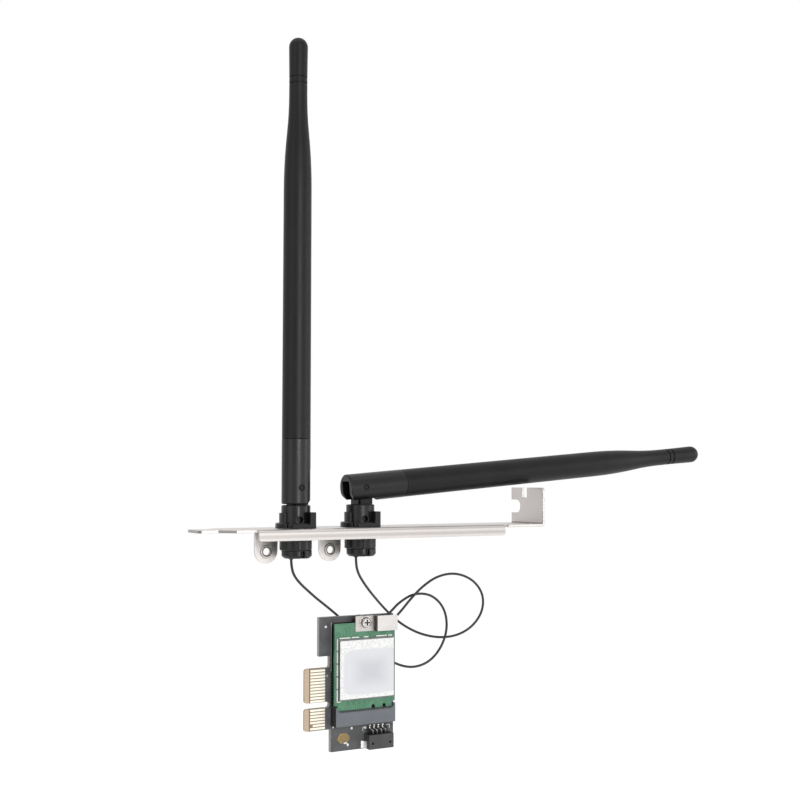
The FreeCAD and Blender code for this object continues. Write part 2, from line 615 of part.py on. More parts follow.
def make_module():
    under = size.boardFace - size.moduleLift
    face = under - size.moduleThickness
    left, right = size.moduleLeft, size.moduleLeft + size.moduleWidth
    middle = size.moduleLeft + size.moduleWidth / 2
    bottom = size.moduleBottom
    shoulder = bottom + size.tongueDepth
    tongue = size.tongueEdge / 2
    mouth = size.standoffRadius - 0.1
    notch = size.keyNotch / 2
    deep = bottom + size.keyNotchDepth - notch
    one, two = middle + size.keyNotchOne, middle + size.keyNotchTwo
    edge = outline("module_outline", [
        (left, size.moduleTop), (left, shoulder), (middle - tongue, shoulder),
        (middle - tongue, bottom), (one - notch, bottom), (one - notch, deep, notch, -1),
        (one + notch, deep), (one + notch, bottom), (two - notch, bottom),
        (two - notch, deep, notch, -1), (two + notch, deep), (two + notch, bottom),
        (middle + tongue, bottom), (middle + tongue, shoulder), (right, shoulder),
        (right, size.moduleTop), (middle + mouth, size.moduleTop, mouth, -1),
        (middle - mouth, size.moduleTop)], "XZ", under)
    register("module_board", extrude("module_board", edge, size.moduleThickness, Vector(0, -1, 0)))

    pads = []
    for index in range(36):
        at = middle - tongue + 0.9 + index * size.contactPitch
        clear = all(abs(value_of(at - key)) > value_of(notch) + 0.3 for key in (one, two))
        if clear:
            pads.append(block((at - 0.17, at + 0.17), (face - size.padThickness, face),
                              (bottom + 0.4, bottom + 2.3)))
    register("module_contacts", group("module_contacts", pads))

    # the socket that holds the module's edge, open towards the module
    lower = size.socketBottom
    wide = size.socketWidth / 2
    front = size.boardFace - size.socketHeight
    body = box("socket_body", (middle - wide, middle + wide), (front, size.boardFace),
               (lower, size.socketTop))
    arms = [box(f"socket_arm_{name}", limits, (front, size.boardFace),
                (size.socketTop - 0.5, size.socketTop + size.socketArmReach))
            for name, limits in (("left", (middle - wide, middle - wide + size.socketArm)),
                                 ("right", (middle + wide - size.socketArm, middle + wide)))]
    slot = box("socket_slot", (middle - tongue - 0.15, middle + tongue + 0.15),
               (face - size.padThickness - size.slotGap, under + size.slotGap),
               (bottom - 0.2, size.socketTop + 1))
    housing = cut("socket_cut", fuse("socket_blank", body, *arms), slot)

    def long_front(edge):
        return runs_along(edge, Vector(1, 0, 0)) and edge.Length > value_of(wide) \
            and abs(edge.CenterOfMass.y - value_of(front)) < 1e-4

    register("module_socket", dress("Chamfer", "socket_bevelled", housing, 0.2, long_front))
    tails = []
    for index in range(36):
        at = middle - tongue + 0.9 + index * size.contactPitch
        tails.append(block((at - size.tailWidth / 2, at + size.tailWidth / 2),
                           (size.boardFace - 0.2, size.boardFace),
                           (lower - size.tailLength, lower)))
    register("socket_tails", group("socket_tails", tails))

    # the screening can over the radio, and the blank label on it
    can_middle = middle + size.shieldShift
    can_left = can_middle - size.shieldWidth / 2
    can_right = can_middle + size.shieldWidth / 2
    can_low = size.shieldTop - size.shieldLength
    rim = face - size.shieldHeight
    wall = size.shieldWall
    fence = box("fence_outer", (can_left, can_right), (rim, face), (can_low, size.shieldTop))
    core = box("fence_inner", (can_left + wall, can_right - wall), (rim - 1, face + 1),
               (can_low + wall, size.shieldTop - wall))
    register("shield_frame", cut("shield_fence", fence, core))
    inset = size.lidInset
    lid = box("lid_plate", (can_left + inset, can_right - inset), (rim - size.lidThickness, rim),
              (can_low + inset, size.shieldTop - inset))
    register("shield_lid", dress("Fillet", "lid_rounded", lid, size.lidInset * 2,
                                 lambda edge: runs_along(edge, Vector(0, 1, 0))))
    label_top = size.shieldTop - (size.shieldLength - size.labelLength) / 2
    skin = rim - size.lidThickness
    half = size.labelWidth / 2
    label = box("label_sheet", (can_middle - half, can_middle + half),
                (skin - size.labelThickness, skin), (label_top - size.labelLength, label_top))
    register("blank_label", label)
    chip_x, chip_z = middle - size.chipSize / 2, size.shieldTop - size.shieldLength / 2
    chips = [block((chip_x, chip_x + size.chipSize), (face - size.chipHeight, face),
                   (chip_z - size.chipSize / 2, chip_z + size.chipSize / 2)),
             block((chip_x + size.chipSize * 1.3, chip_x + size.chipSize * 1.6),
                   (face - size.chipHeight, face), (chip_z, chip_z + size.chipSize / 4)),
             block((chip_x - size.chipSize / 2, chip_x - size.chipSize / 5),
                   (face - size.chipHeight, face), (chip_z - size.chipSize / 4, chip_z))]
    register("radio_chips", group("radio_chips", chips))


def make_clip():
    face = size.boardFace - size.moduleLift - size.moduleThickness
    thick, rise = size.clipThickness, size.clipRise
    step = size.clipStep
    low = size.clipTop - size.clipWidth
    fold = outline("clip_outline", [
        (size.clipLeft, face), (size.clipLeft, face - thick), (step - thick, face - thick),
        (step - thick, face - rise - thick), (size.clipRight, face - rise - thick),
        (size.clipRight, face - rise), (step, face - rise), (step, face)], "XY", low)
    strip = extrude("clip_strip", fold, size.clipWidth, Vector(0, 0, 1))
    screw_x = size.moduleLeft + size.moduleWidth / 2
    screw_z = size.moduleTop
    hole = cylinder("clip_hole", size.screwRadius + 0.1, face - 2, face + 1, (screw_x, screw_z), "y")
    strip = dress("Fillet", "clip_rounded", strip, size.clipThickness,
                  lambda edge: runs_along(edge, Vector(0, 1, 0)) and edge.Length < 0.5)
    register("retainer_clip", cut("clip_cut", strip, hole))

    # the standoff stands on the board and carries the module's edge and the clip
    waist = size.standoffRadius - 0.2
    post = revolve("standoff_body", [
        (size.screwRadius, 0), (size.standoffRadius, 0), (size.standoffRadius, size.moduleLift),
        (waist, size.moduleLift), (waist, size.moduleLift + size.moduleThickness),
        (size.screwRadius, size.moduleLift + size.moduleThickness)])
    register("standoff", place(post, screw_x, size.boardFace, screw_z, Vector(1, 0, 0), 90))

    crown = size.headHeight - 0.3
    screw = revolve("screw_body", [
        (0, -size.screwReach), (size.screwRadius, -size.screwReach), (size.screwRadius, 0),
        (size.washerRadius, 0), (size.washerRadius, size.washerHeight),
        (size.headRadius, size.washerHeight), (size.headRadius, size.washerHeight + crown),
        (size.headRadius - 0.45, size.washerHeight + size.headHeight),
        (0, size.washerHeight + size.headHeight)])
    top = size.washerHeight + size.headHeight
    wide, long = size.crossWidth / 2, size.crossLength / 2
    slots = [box("cross_one", (-long, long), (-wide, wide), (top - size.crossDepth, top + 1)),
             box("cross_two", (-wide, wide), (-long, long), (top - size.crossDepth, top + 1))]
    screw = cut("screw_cut", screw, *slots)
    register("clip_screw", place(screw, screw_x, face - thick, screw_z, Vector(1, 0, 0), 90))


def make_aerial_plug(side, x, z, end):
    """The jack's plug: a round cap and a barrel that points at the lead's end."""
    face = size.boardFace - size.moduleLift - size.moduleThickness
    seat = face - size.jackBase
    cap = revolve(f"{side}_plug_cap", [
        (size.jackPost + size.fitGap, 0), (size.plugRadius, 0),
        (size.plugRadius, size.plugHeight - 0.2), (size.plugRadius - 0.2, size.plugHeight),
        (0, size.plugHeight), (0, size.plugHeight - 0.2),
        (size.jackPost + size.fitGap, size.plugHeight - 0.2)])
    cap = place(cap, x, seat, z, Vector(1, 0, 0), 90)
    barrel = doc.addObject("Part::Cylinder", f"{side}_plug_barrel")
    bind(barrel, "Radius", size.barrelRadius)
    bind(barrel, "Height", size.plugReach - size.plugRadius + 0.15)
    way = Vector(end[0] - value_of(x), 0, end[2] - value_of(z)).normalize()
    start = size.plugRadius - 0.15
    turn = FreeCAD.Rotation(Vector(0, 0, 1), way)
    place(barrel, x + start * way.x, end[1], z + start * way.z, turn.Axis, math.degrees(turn.Angle))
    register(f"{side}_lead_plug", fuse(f"{side}_plug", cap, barrel))


def make_jacks():
    face = size.boardFace - size.moduleLift - size.moduleThickness
    half = size.jackSize / 2
    jacks = []
    for x, z in ((size.jackOneX, size.jackOneZ), (size.jackTwoX, size.jackTwoZ)):
        base = block((x - half, x + half), (face - size.jackBase, face), (z - half, z + half))
        post = Part.makeCylinder(value_of(size.jackPost), value_of(size.jackRise),
                                 Vector(value_of(x), value_of(face - size.jackBase), value_of(z)),
                                 Vector(0, -1, 0))
        jacks.append(base.fuse(post).removeSplitter())
    register("aerial_jacks", group("aerial_jacks", jacks))


def make_header():
    front = size.boardFace - size.headerHeight
    right = size.headerLeft + size.headerWidth
    low = size.headerTop - size.headerLength
    wall = size.headerWall
    shell = box("header_shell", (size.headerLeft, right), (front, size.boardFace),
                (low, size.headerTop))
    mouth = box("header_mouth", (size.headerLeft + wall, right - wall),
                (front + wall, size.boardFace - wall), (low - 1, size.headerTop - 1.2))
    windows = [box(f"header_window_{name}", (at - 0.35, at + 0.35), (front - 1, front + wall + 0.1),
                   (low + 1.5, low + 2.2))
               for name, at in (("left", size.headerLeft + 1.3), ("right", right - 1.3))]
    pins, leads = [], []
    middle = size.headerLeft + size.headerWidth / 2
    half = size.pinWidth / 2
    heel = size.headerTop - 1.2
    for index in range(4):
        at = middle + (index - 1.5) * size.pinPitch
        leads.append(box(f"header_lead_gap_{index}", (at - half, at + half),
                         (front + 1.3, front + 1.3 + size.pinWidth), (heel - 0.1, size.headerTop + 1)))
        pin = block((at - half, at + half), (front + 1.3, front + 1.3 + size.pinWidth),
                    (low + 0.8, size.headerTop + 1.2))
        leg = block((at - half, at + half), (front + 1.3, size.boardFace),
                    (size.headerTop + 0.9, size.headerTop + 1.2))
        foot = block((at - half, at + half), (size.boardFace - 0.25, size.boardFace),
                     (size.headerTop + 0.9, size.headerTop + 1.7))
        pins.append(pin.fuse([leg, foot]).removeSplitter())
    register("header_housing", cut("header_cut", shell, mouth, *windows, *leads))
    register("header_pins", group("header_pins", pins))
    nails = []
    for edge, sign in ((size.headerLeft, -1), (right, 1)):
        near, far = edge, edge + sign * size.nailWidth
        limits = (far, near) if sign < 0 else (near, far)
        nails.append(block(limits, (size.boardFace - size.nailHeight, size.boardFace),
                           (size.boardBottom + 0.3, size.boardBottom + 0.3 + size.nailLength)))
    register("header_nails", group("header_nails", nails))


def make_lead(side, route):
    """A round lead along straight runs joined by tangent arcs as large as the runs allow."""
    points = [Vector(*point) for point in route]
    edges, radii = [], []
    start = points[0]
    for before, corner, after in zip(points, points[1:], points[2:]):
        arriving = (corner - before).normalize()
        leaving = (after - corner).normalize()
        turn = arriving.getAngle(leaving)
        trim = 0.45 * min((corner - before).Length, (after - corner).Length)
        radii.append(trim / math.tan(turn / 2))
        first, last = corner - arriving * trim, corner + leaving * trim
        inward = (leaving - arriving).normalize()
        depth = radii[-1] * (1 / math.cos(turn / 2) - 1)
        edges.append(Part.LineSegment(start, first).toShape())
        edges.append(Part.Arc(first, corner + inward * depth, last).toShape())
        start = last
    edges.append(Part.LineSegment(start, points[-1]).toShape())
    path = Part.Wire(edges)
    radius = value_of(size.leadRadius)
    section = Part.Wire([Part.makeCircle(radius, points[0], points[1] - points[0])])
    tube = path.makePipeShell([section], True, False)
    lead = doc.addObject("Part::Feature", f"{side}_lead")
    lead.Shape = tube
    share = tube.Volume / (math.pi * radius ** 2 * path.Length)
    print(f"{side} lead: length {path.Length:.1f}, volume share {share:.4f}, "
          f"smallest radius {min(radii):.1f}, radii {[round(r, 1) for r in radii]}")
    register(f"{side}_lead", lead)


# each lead leaves its cap, passes behind the board, loops out and comes back to its plug
leftExit = (value_of(-size.antennaSpacing / 2 - size.leadOffset), 0.0, value_of(size.capBottom))
rightExit = (value_of(size.antennaSpacing / 2 - size.leadOffset), 0.0, value_of(size.capBottom))
leftRoute = [
    leftExit, (-12.4, 0.2, -11.95), (-10.9, 1.5, -14.75), (-7.7, 3.9, -17.45),
    (-3.2, 7.7, -20.25), (1.8, 11.9, -23.25), (7.0, 16.0, -26.15), (12.2, 18.7, -29.55),
    (17.8, 19.2, -34.35), (23.3, 19.0, -39.35), (28.6, 18.3, -43.65), (33.8, 17.1, -47.05),
    (39.3, 15.9, -48.35), (44.9, 14.9, -46.75), (49.2, 14.1, -42.25), (51.4, 13.4, -35.75),
    (49.9, 12.8, -28.65), (44.3, 12.0, -23.75), (37.0, 11.2, -22.95), (31.0, 10.4, -25.55),
    (27.6, 9.95, -28.33), (25.08, 9.95, -30.61)]
rightRoute = [
    rightExit, (9.75, 0.2, -11.95), (11.2, 1.6, -14.75), (14.4, 4.6, -17.65),
    (18.8, 8.8, -20.95), (23.8, 13.4, -24.35), (28.6, 17.1, -27.75), (33.4, 18.5, -31.75),
    (38.3, 18.3, -35.15), (43.8, 17.5, -37.75), (50.4, 16.6, -39.15), (57.0, 15.6, -38.55),
    (62.5, 14.6, -35.55), (65.8, 13.6, -30.45), (65.3, 12.6, -24.55), (60.6, 11.6, -19.45),
    (53.2, 10.8, -16.75), (45.6, 10.2, -17.45), (39.2, 9.8, -20.85), (34.4, 9.8, -25.15),
    (31.25, 9.95, -28.58), (28.70, 9.95, -30.83)]


def left_pose(obj, tilts):
    # the left rod stands upright
    return place(obj, -size.antennaSpacing / 2, 0, size.pivotHeight)


def right_pose(obj, tilts):
    # the right rod is bent over at its hinge; the knuckle under it stays upright
    bend = size.rightBendAngle if tilts else 0
    return place(obj, size.antennaSpacing / 2, 0, size.pivotHeight, Vector(0, 1, 0), bend)


make_bracket()
for side, sign, pose in (("left", -1, left_pose), ("right", 1, right_pose)):
    make_socket(side, size.antennaSpacing * (sign / 2))
    make_antenna(side, size.antennaSpacing * (sign / 2), pose)
make_board()
make_module()
make_clip()
make_jacks()
make_aerial_plug("left", size.jackOneX, size.jackOneZ, leftRoute[-1])
make_aerial_plug("right", size.jackTwoX, size.jackTwoZ, rightRoute[-1])
make_header()
make_lead("left", leftRoute)
make_lead("right", rightRoute)

doc.recompute()
for obj in doc.Objects:
    if "Invalid" in obj.State or "Error" in obj.State:
        raise RuntimeError(f"{obj.Label} failed to compute: {obj.State}")
for label, obj in subparts.items():
    if obj.Shape.isNull() or not obj.Shape.isValid():
        raise RuntimeError(f"{label} has no valid shape")

os.makedirs("parts", exist_ok=True)
for label, obj in subparts.items():
    obj.Shape.exportStep(f"parts/{label}.step")
print(f"{len(subparts)} sub-parts written")
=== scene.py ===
import math

import bmesh
import bpy
import numpy as np
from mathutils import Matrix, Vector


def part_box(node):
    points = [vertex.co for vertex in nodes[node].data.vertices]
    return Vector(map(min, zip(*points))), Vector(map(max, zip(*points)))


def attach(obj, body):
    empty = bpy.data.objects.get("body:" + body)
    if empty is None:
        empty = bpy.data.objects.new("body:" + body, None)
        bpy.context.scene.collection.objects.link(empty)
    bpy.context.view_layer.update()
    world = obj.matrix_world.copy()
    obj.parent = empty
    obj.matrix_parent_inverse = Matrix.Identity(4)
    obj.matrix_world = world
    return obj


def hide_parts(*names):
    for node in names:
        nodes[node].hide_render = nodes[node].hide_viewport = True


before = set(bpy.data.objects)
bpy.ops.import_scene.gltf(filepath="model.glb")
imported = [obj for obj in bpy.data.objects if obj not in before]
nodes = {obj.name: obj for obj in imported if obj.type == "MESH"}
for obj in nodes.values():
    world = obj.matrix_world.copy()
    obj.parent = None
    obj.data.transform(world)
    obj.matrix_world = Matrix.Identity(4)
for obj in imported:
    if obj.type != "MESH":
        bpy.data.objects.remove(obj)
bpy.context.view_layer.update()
scene = bpy.context.scene
scene.view_settings.view_transform = "Standard"
mm = 0.001
micron = 0.000001
bothSides = ("left", "right")
print("frame loaded:", len(nodes), "nodes")

# the view, matched to the photograph
viewSettings = {
    "place": (-0.16251, -0.33911, 0.01475),
    "turn": (93.8, 0.0, -29.0),
    "lens": 54.0,
    "sensor": 36.0,
    "near": 0.01,
    "far": 20.0,
}


def addCamera(s):
    data = bpy.data.cameras.new("view")
    data.lens = s["lens"]
    data.sensor_width = s["sensor"]
    data.clip_start = s["near"]
    data.clip_end = s["far"]
    camera = bpy.data.objects.new("view", data)
    camera.location = s["place"]
    camera.rotation_euler = [math.radians(angle) for angle in s["turn"]]
    scene.collection.objects.link(camera)
    scene.camera = camera


addCamera(viewSettings)
print("camera placed")


# shader helpers: short names for the nodes that the finishes share
def feed(tree, value, socket):
    # a number, vector or colour is set on the socket, and an output is linked to it
    if isinstance(value, tuple):
        socket.default_value = (*value, 1.0) if len(socket.default_value) == 4 else value
    elif isinstance(value, (int, float)):
        socket.default_value = value
    else:
        tree.links.new(value, socket)


def mathNode(tree, kind, *values, clamp=False):
    node = tree.nodes.new("ShaderNodeMath")
    node.operation = kind
    node.use_clamp = clamp
    for value, socket in zip(values, node.inputs):
        feed(tree, value, socket)
    return node.outputs[0]


def mixColours(tree, mask, a, b):
    node = tree.nodes.new("ShaderNodeMix")
    node.data_type = "RGBA"
    for value, index in ((mask, 0), (a, 6), (b, 7)):
        feed(tree, value, node.inputs[index])
    return node.outputs[2]


def noiseNode(tree, vector, scale, detail, rough):
    node = tree.nodes.new("ShaderNodeTexNoise")
    for value, title in ((vector, "Vector"), (scale, "Scale"), (detail, "Detail"), (rough, "Roughness")):
        feed(tree, value, node.inputs[title])
    return node.outputs[0]


def newGroup(name, ins, outs):
    tree = bpy.data.node_groups.new(name, "ShaderNodeTree")
    for title, kind in ins.items():
        tree.interface.new_socket(title, in_out="INPUT", socket_type=f"NodeSocket{kind}")
    for title in outs:
        tree.interface.new_socket(title, in_out="OUTPUT", socket_type="NodeSocketFloat")
    return tree, tree.nodes.new("NodeGroupInput").outputs, tree.nodes.new("NodeGroupOutput").inputs


# noise is given as detail and roughness, and contrast as gain and shift
grainNoise = {"fine": (3.0, 0.65), "coarser": 0.02, "broad": (3.0, 0.55), "contrast": (2.2, -0.6)}
streakNoise = {"lines": (4.0, 0.6), "patch": (3.0, 0.5), "contrast": (2.0, -0.5)}


def makeGrain(s):
    # moulded grain: fine noise for the height, broad noise for uneven gloss
    ins = {"Vector": "Vector", "Scale": "Float"}
    tree, given, result = newGroup("mouldedGrain", ins, ["Height", "Patch"])
    feed(tree, noiseNode(tree, given["Vector"], given["Scale"], *s["fine"]), result["Height"])
    coarse = mathNode(tree, "MULTIPLY", given["Scale"], s["coarser"])
    broad = noiseNode(tree, given["Vector"], coarse, *s["broad"])
    feed(tree, mathNode(tree, "MULTIPLY_ADD", broad, *s["contrast"], clamp=True), result["Patch"])
    return tree


def makeStreak(s):
    # rolled sheet: noise scaled by Stretch on each axis, so its lines run along the axis that is scaled least
    ins = {"Vector": "Vector", "Stretch": "Vector", "Patch Scale": "Float"}
    tree, given, result = newGroup("rolledStreak", ins, ["Height", "Patch"])
    scaled = tree.nodes.new("ShaderNodeVectorMath")
    scaled.operation = "MULTIPLY"
    feed(tree, given["Vector"], scaled.inputs[0])
    feed(tree, given["Stretch"], scaled.inputs[1])
    feed(tree, noiseNode(tree, scaled.outputs[0], 1.0, *s["lines"]), result["Height"])
    patch = noiseNode(tree, given["Vector"], given["Patch Scale"], *s["patch"])
    feed(tree, mathNode(tree, "MULTIPLY_ADD", patch, *s["contrast"], clamp=True), result["Patch"])
    return tree


def makeSpan():
    # 1 where one coordinate lies between Low and High, falling to 0 over Soft inside each end
    ins = {"Value": "Float", "Low": "Float", "High": "Float", "Soft": "Float"}
    tree, given, result = newGroup("spanMask", ins, ["Mask"])
    above = mathNode(tree, "SUBTRACT", given["Value"], given["Low"])
    below = mathNode(tree, "SUBTRACT", given["High"], given["Value"])
    inside = mathNode(tree, "MINIMUM", above, below)
    feed(tree, mathNode(tree, "DIVIDE", inside, given["Soft"], clamp=True), result["Mask"])
    return tree


grainGroup = makeGrain(grainNoise)
streakGroup = makeStreak(streakNoise)
spanGroup = makeSpan()
wornSamples = 6
hardEdge = 0.02  # how softly a tint ends when it doesn't say, in millimetres


def startMaterial(name):
    material = bpy.data.materials.new(name)
    material.use_nodes = True
    tree = material.node_tree
    shader = tree.nodes["Principled BSDF"]
    coords = tree.nodes.new("ShaderNodeTexCoord").outputs["Object"]
    return material, tree, shader, coords


def useGroup(tree, group, **values):
    node = tree.nodes.new("ShaderNodeGroup")
    node.node_tree = group
    for title, value in values.items():
        feed(tree, value, node.inputs[title.replace("_", " ")])
    return node.outputs


def bumpFrom(tree, height, shader, depth, edge=0.0):
    # depth is in micrometres, and edge is the radius in millimetres of worn edges that catch the light
    bump = tree.nodes.new("ShaderNodeBump")
    bump.inputs["Distance"].default_value = depth * micron
    feed(tree, height, bump.inputs["Height"])
    if edge:
        worn = tree.nodes.new("ShaderNodeBevel")
        worn.samples = wornSamples
        worn.inputs["Radius"].default_value = edge * mm
        feed(tree, worn.outputs[0], bump.inputs["Normal"])
    feed(tree, bump.outputs[0], shader.inputs["Normal"])


def roughFrom(tree, mask, shader, rough):
    low, high = rough
    feed(tree, mathNode(tree, "MULTIPLY_ADD", mask, high - low, low), shader.inputs["Roughness"])


def axisFrom(tree, coords, axis, start=0.0):
    # one coordinate, measured from start in millimetres
    split = tree.nodes.new("ShaderNodeSeparateXYZ")
    feed(tree, coords, split.inputs[0])
    return mathNode(tree, "SUBTRACT", split.outputs[axis], start * mm)


def ringDistance(tree, coords, x, z, squash):
    # distance from a line along Y through x and z, with the upward part multiplied by squash
    across = axisFrom(tree, coords, 0, x)
    up = mathNode(tree, "MULTIPLY", axisFrom(tree, coords, 2, z), squash)
    squares = [mathNode(tree, "MULTIPLY", part, part) for part in (across, up)]
    return mathNode(tree, "SQRT", mathNode(tree, "ADD", *squares))


def tinted(tree, coords, colour, tints):
    # each tint is a colour, the spans that must all hold and how softly they end, in millimetres;
    # x, y and z give a low and a high limit, and ring gives x, z, inner radius, outer radius and squash
    for paintColour, spans, *soft in tints:
        mask = 1.0
        for key, limits in spans.items():
            if key == "ring":
                x, z, low, high, squash = limits
                value = ringDistance(tree, coords, x, z, squash)
            else:
                low, high = limits
                value = axisFrom(tree, coords, "xyz".index(key))
            fall = soft[0] if soft else hardEdge
            span = useGroup(tree, spanGroup, Value=value, Low=low * mm, High=high * mm, Soft=fall * mm)
            mask = mathNode(tree, "MULTIPLY", span["Mask"], mask)
        colour = mixColours(tree, mask, colour, paintColour)
    return colour


def plasticFinish(name, dark, pale, rough, specular, grain, depth, edge=0.0, tints=()):
    material, tree, shader, coords = startMaterial(name)
    group = useGroup(tree, grainGroup, Vector=coords, Scale=grain)
    colour = mixColours(tree, group["Patch"], dark, pale)
    feed(tree, tinted(tree, coords, colour, tints), shader.inputs["Base Color"])
    roughFrom(tree, group["Patch"], shader, rough)
    shader.inputs["Specular IOR Level"].default_value = specular
    bumpFrom(tree, group["Height"], shader, depth, edge)
    return material


def metalFinish(name, dark, pale, rough, stretch, depth, patch=300.0, edge=0.0, metal=1.0, tints=()):
    material, tree, shader, coords = startMaterial(name)
    group = useGroup(tree, streakGroup, Vector=coords, Stretch=stretch, Patch_Scale=patch)
    colour = mixColours(tree, group["Patch"], dark, pale)
    feed(tree, tinted(tree, coords, colour, tints), shader.inputs["Base Color"])
    roughFrom(tree, group["Height"], shader, rough)
    shader.inputs["Metallic"].default_value = metal
    bumpFrom(tree, group["Height"], shader, depth, edge)
    return material


# what both boards share: the pours' noise is scale, detail and roughness, their contrast is gain and shift
boardSurface = {
    "grain": 9000.0,
    "pourNoise": (260.0, 1.0, 0.4),
    "pourContrast": (9.0, -4.2),
    "pourShare": 0.6,
    "patchShare": 0.4,
    "rough": (0.38, 0.52),
    "specular": 0.3,
    "relief": 0.3,
    "depth": 10,
}


def boardFinish(name, face, pour, tints):
    # solder mask, a little paler over the copper pours; the tints give cut edges, shade and bare laminate
    s = boardSurface
    material, tree, shader, coords = startMaterial(name)
    group = useGroup(tree, grainGroup, Vector=coords, Scale=s["grain"])
    pours = noiseNode(tree, coords, *s["pourNoise"])
    pours = mathNode(tree, "MULTIPLY_ADD", pours, *s["pourContrast"], clamp=True)
    mask = mathNode(tree, "MULTIPLY", pours, s["pourShare"])
    mask = mathNode(tree, "MULTIPLY_ADD", group["Patch"], s["patchShare"], mask)
    colour = mixColours(tree, mask, face, pour)
    feed(tree, tinted(tree, coords, colour, tints), shader.inputs["Base Color"])
    roughFrom(tree, group["Patch"], shader, s["rough"])
    shader.inputs["Specular IOR Level"].default_value = s["specular"]
    height = mathNode(tree, "MULTIPLY_ADD", group["Height"], s["relief"], pours)
    bumpFrom(tree, height, shader, s["depth"])
    return material


def labelFinish(name, s):
    # frosted sheet: a greyer field with round corners, darkest in its middle, inside a pale speckled border
    material, tree, shader, coords = startMaterial(name)
    group = useGroup(tree, grainGroup, Vector=coords, Scale=s["grain"])
    powers = []
    for axis, centre, half in zip((0, 2), s["place"], s["half"]):
        offset = mathNode(tree, "ABSOLUTE", axisFrom(tree, coords, axis, centre))
        share = mathNode(tree, "MULTIPLY", offset, 1.0 / (half * mm))
        powers.append(mathNode(tree, "POWER", share, s["corner"]))
    # the reach is 1 along the field's rounded outline
    reach = mathNode(tree, "POWER", mathNode(tree, "ADD", *powers), 1.0 / s["corner"])
    masks = []
    for low, high in (s["fade"], s["outline"]):
        ramp = tree.nodes.new("ShaderNodeMapRange")
        ramp.interpolation_type = "SMOOTHSTEP"
        for value, title in ((low, "From Min"), (high, "From Max"), (reach, "Value")):
            feed(tree, value, ramp.inputs[title])
        masks.append(ramp.outputs[0])
    grains = mathNode(tree, "MULTIPLY_ADD", group["Height"], *s["contrast"], clamp=True)
    field = mixColours(tree, masks[0], s["middle"], s["inner"])
    border = mixColours(tree, grains, s["border"], s["speck"])
    feed(tree, mixColours(tree, masks[1], field, border), shader.inputs["Base Color"])
    roughFrom(tree, group["Patch"], shader, s["rough"])
    shader.inputs["Specular IOR Level"].default_value = s["specular"]
    bumpFrom(tree, group["Height"], shader, s["depth"])
    return material


# places that the tints share, in millimetres
clipStep = 21.9
screwSpot = (18.5, -31.45)
padSpot = (12.4, -68.45)
earSpots = [(-17.3, -7.5), (4.6, -7.5)]
earSheet = (7.5, 9.0)
headerTop = -67.7
headerShade = (headerTop - 1.0, headerTop + 2.9)
fingerSpan = (-66.0, -45.0)
flangeFace = (-9.3, -8.9)
plateEdge = (-0.83, -0.03)  # inside the plate's thickness, so only its cut edges
tabFace = (74.9, 75.1)

# tints: painted shade on the flange face with a grey band of painted reflection across its bend, painted
# shade on the cut edge where the plate narrows, the tongue's tip and cut edges, lines at the tab, and painted
# shade in rings round the ears' threads
bracketTints = [
    # painted shade: the flange's front face darker than the rest of the bracket
    ((0.47, 0.445, 0.43), {"y": flangeFace, "z": (-3.6, -0.6)}, 0.1),
    # painted reflection: a grey band where the flange's bend reflects darker
    ((0.37, 0.345, 0.33), {"y": (-9.9, -8.3), "z": (-2.95, -1.45)}, 0.5),
    # painted shade on the cut edge where the plate narrows to the tongue
    ((0.20, 0.185, 0.18), {"x": (-38.1, -33.9), "y": (-9.3, -5.0), "z": plateEdge}),
    ((0.36, 0.345, 0.335), {"x": (-44.3, -44.05)}),
    ((0.13, 0.12, 0.115), {"x": (-44.05, -43.1), "y": (-5.2, -4.0), "z": plateEdge}),
    ((0.19, 0.175, 0.17), {"x": tabFace, "y": flangeFace, "z": (0.0, 11.9)}),
    ((0.25, 0.23, 0.22), {"x": tabFace, "z": (-0.1, 0.35)}),
]
# painted shade: a dark ring round each ear's hole and a fainter outline outside it, where a raised rim would
# be shaded
for ringColour, inner, outer in (((0.10, 0.09, 0.085), 1.2, 1.62), ((0.30, 0.28, 0.27), 1.86, 2.12)):
    for spot in earSpots:
        bracketTints.append((ringColour, {"ring": (*spot, inner, outer, 1.0), "y": earSheet}))

# tints: shade under the module and behind the header's legs, cut edges, bare laminate at the fingers
carrierTints = [
    ((0.010, 0.010, 0.011), {"x": (8.05, 29.5), "y": (13.9, 14.02), "z": (-61.5, -31.4)}),
    ((0.012, 0.012, 0.013), {"x": (20.4, 28.8), "y": (12.0, 14.8), "z": headerShade}, 0.7),
    ((0.40, 0.385, 0.37), {"y": (14.03, 15.57)}),
    ((0.25, 0.195, 0.14), {"x": (-2.0, 5.75), "z": fingerSpan}),
    ((0.25, 0.145, 0.065), {"x": (-2.0, 0.56), "z": fingerSpan}),
    ((0.49, 0.385, 0.285), {"x": (-2.0, 0.08), "z": fingerSpan}),
]
moduleTints = [((0.03, 0.08, 0.05), {"y": (10.83, 11.57)})]
# painted shade: the clip's lower part darker, and a dark band where the step casts its shadow
clipPaintedShade = [
    ((0.44, 0.415, 0.395), {"x": (0.0, clipStep)}),
    ((0.13, 0.115, 0.11), {"x": (clipStep - 0.42, clipStep + 0.04)}),
]
screwTints = [
    ((0.05, 0.045, 0.042), {"ring": (*screwSpot, 0.0, 1.05, 1.0), "y": (9.3, 9.8)}),
    ((0.16, 0.145, 0.14), {"ring": (*screwSpot, 1.58, 1.80, 1.0)}),
]
padTints = [((0.205, 0.15, 0.07), {"ring": (*padSpot, 0.0, 1.85, 1.42)}, 0.5)]
# painted shade: the header's legs darker near the housing
legPaintedShade = [((0.05, 0.05, 0.052), {"z": (headerTop - 6.0, headerTop + 1.3)}, 0.5)]
# the socket's left end nearly black: partly its black moulded end, partly painted shade
socketTints = [((0.012, 0.012, 0.013), {"x": (0.0, 7.77)})]
# painted shade: the housing's top darkened behind the legs
headerTopPaintedShade = [((0.005, 0.005, 0.005), {"z": (headerTop - 0.03, headerTop + 0.5)})]

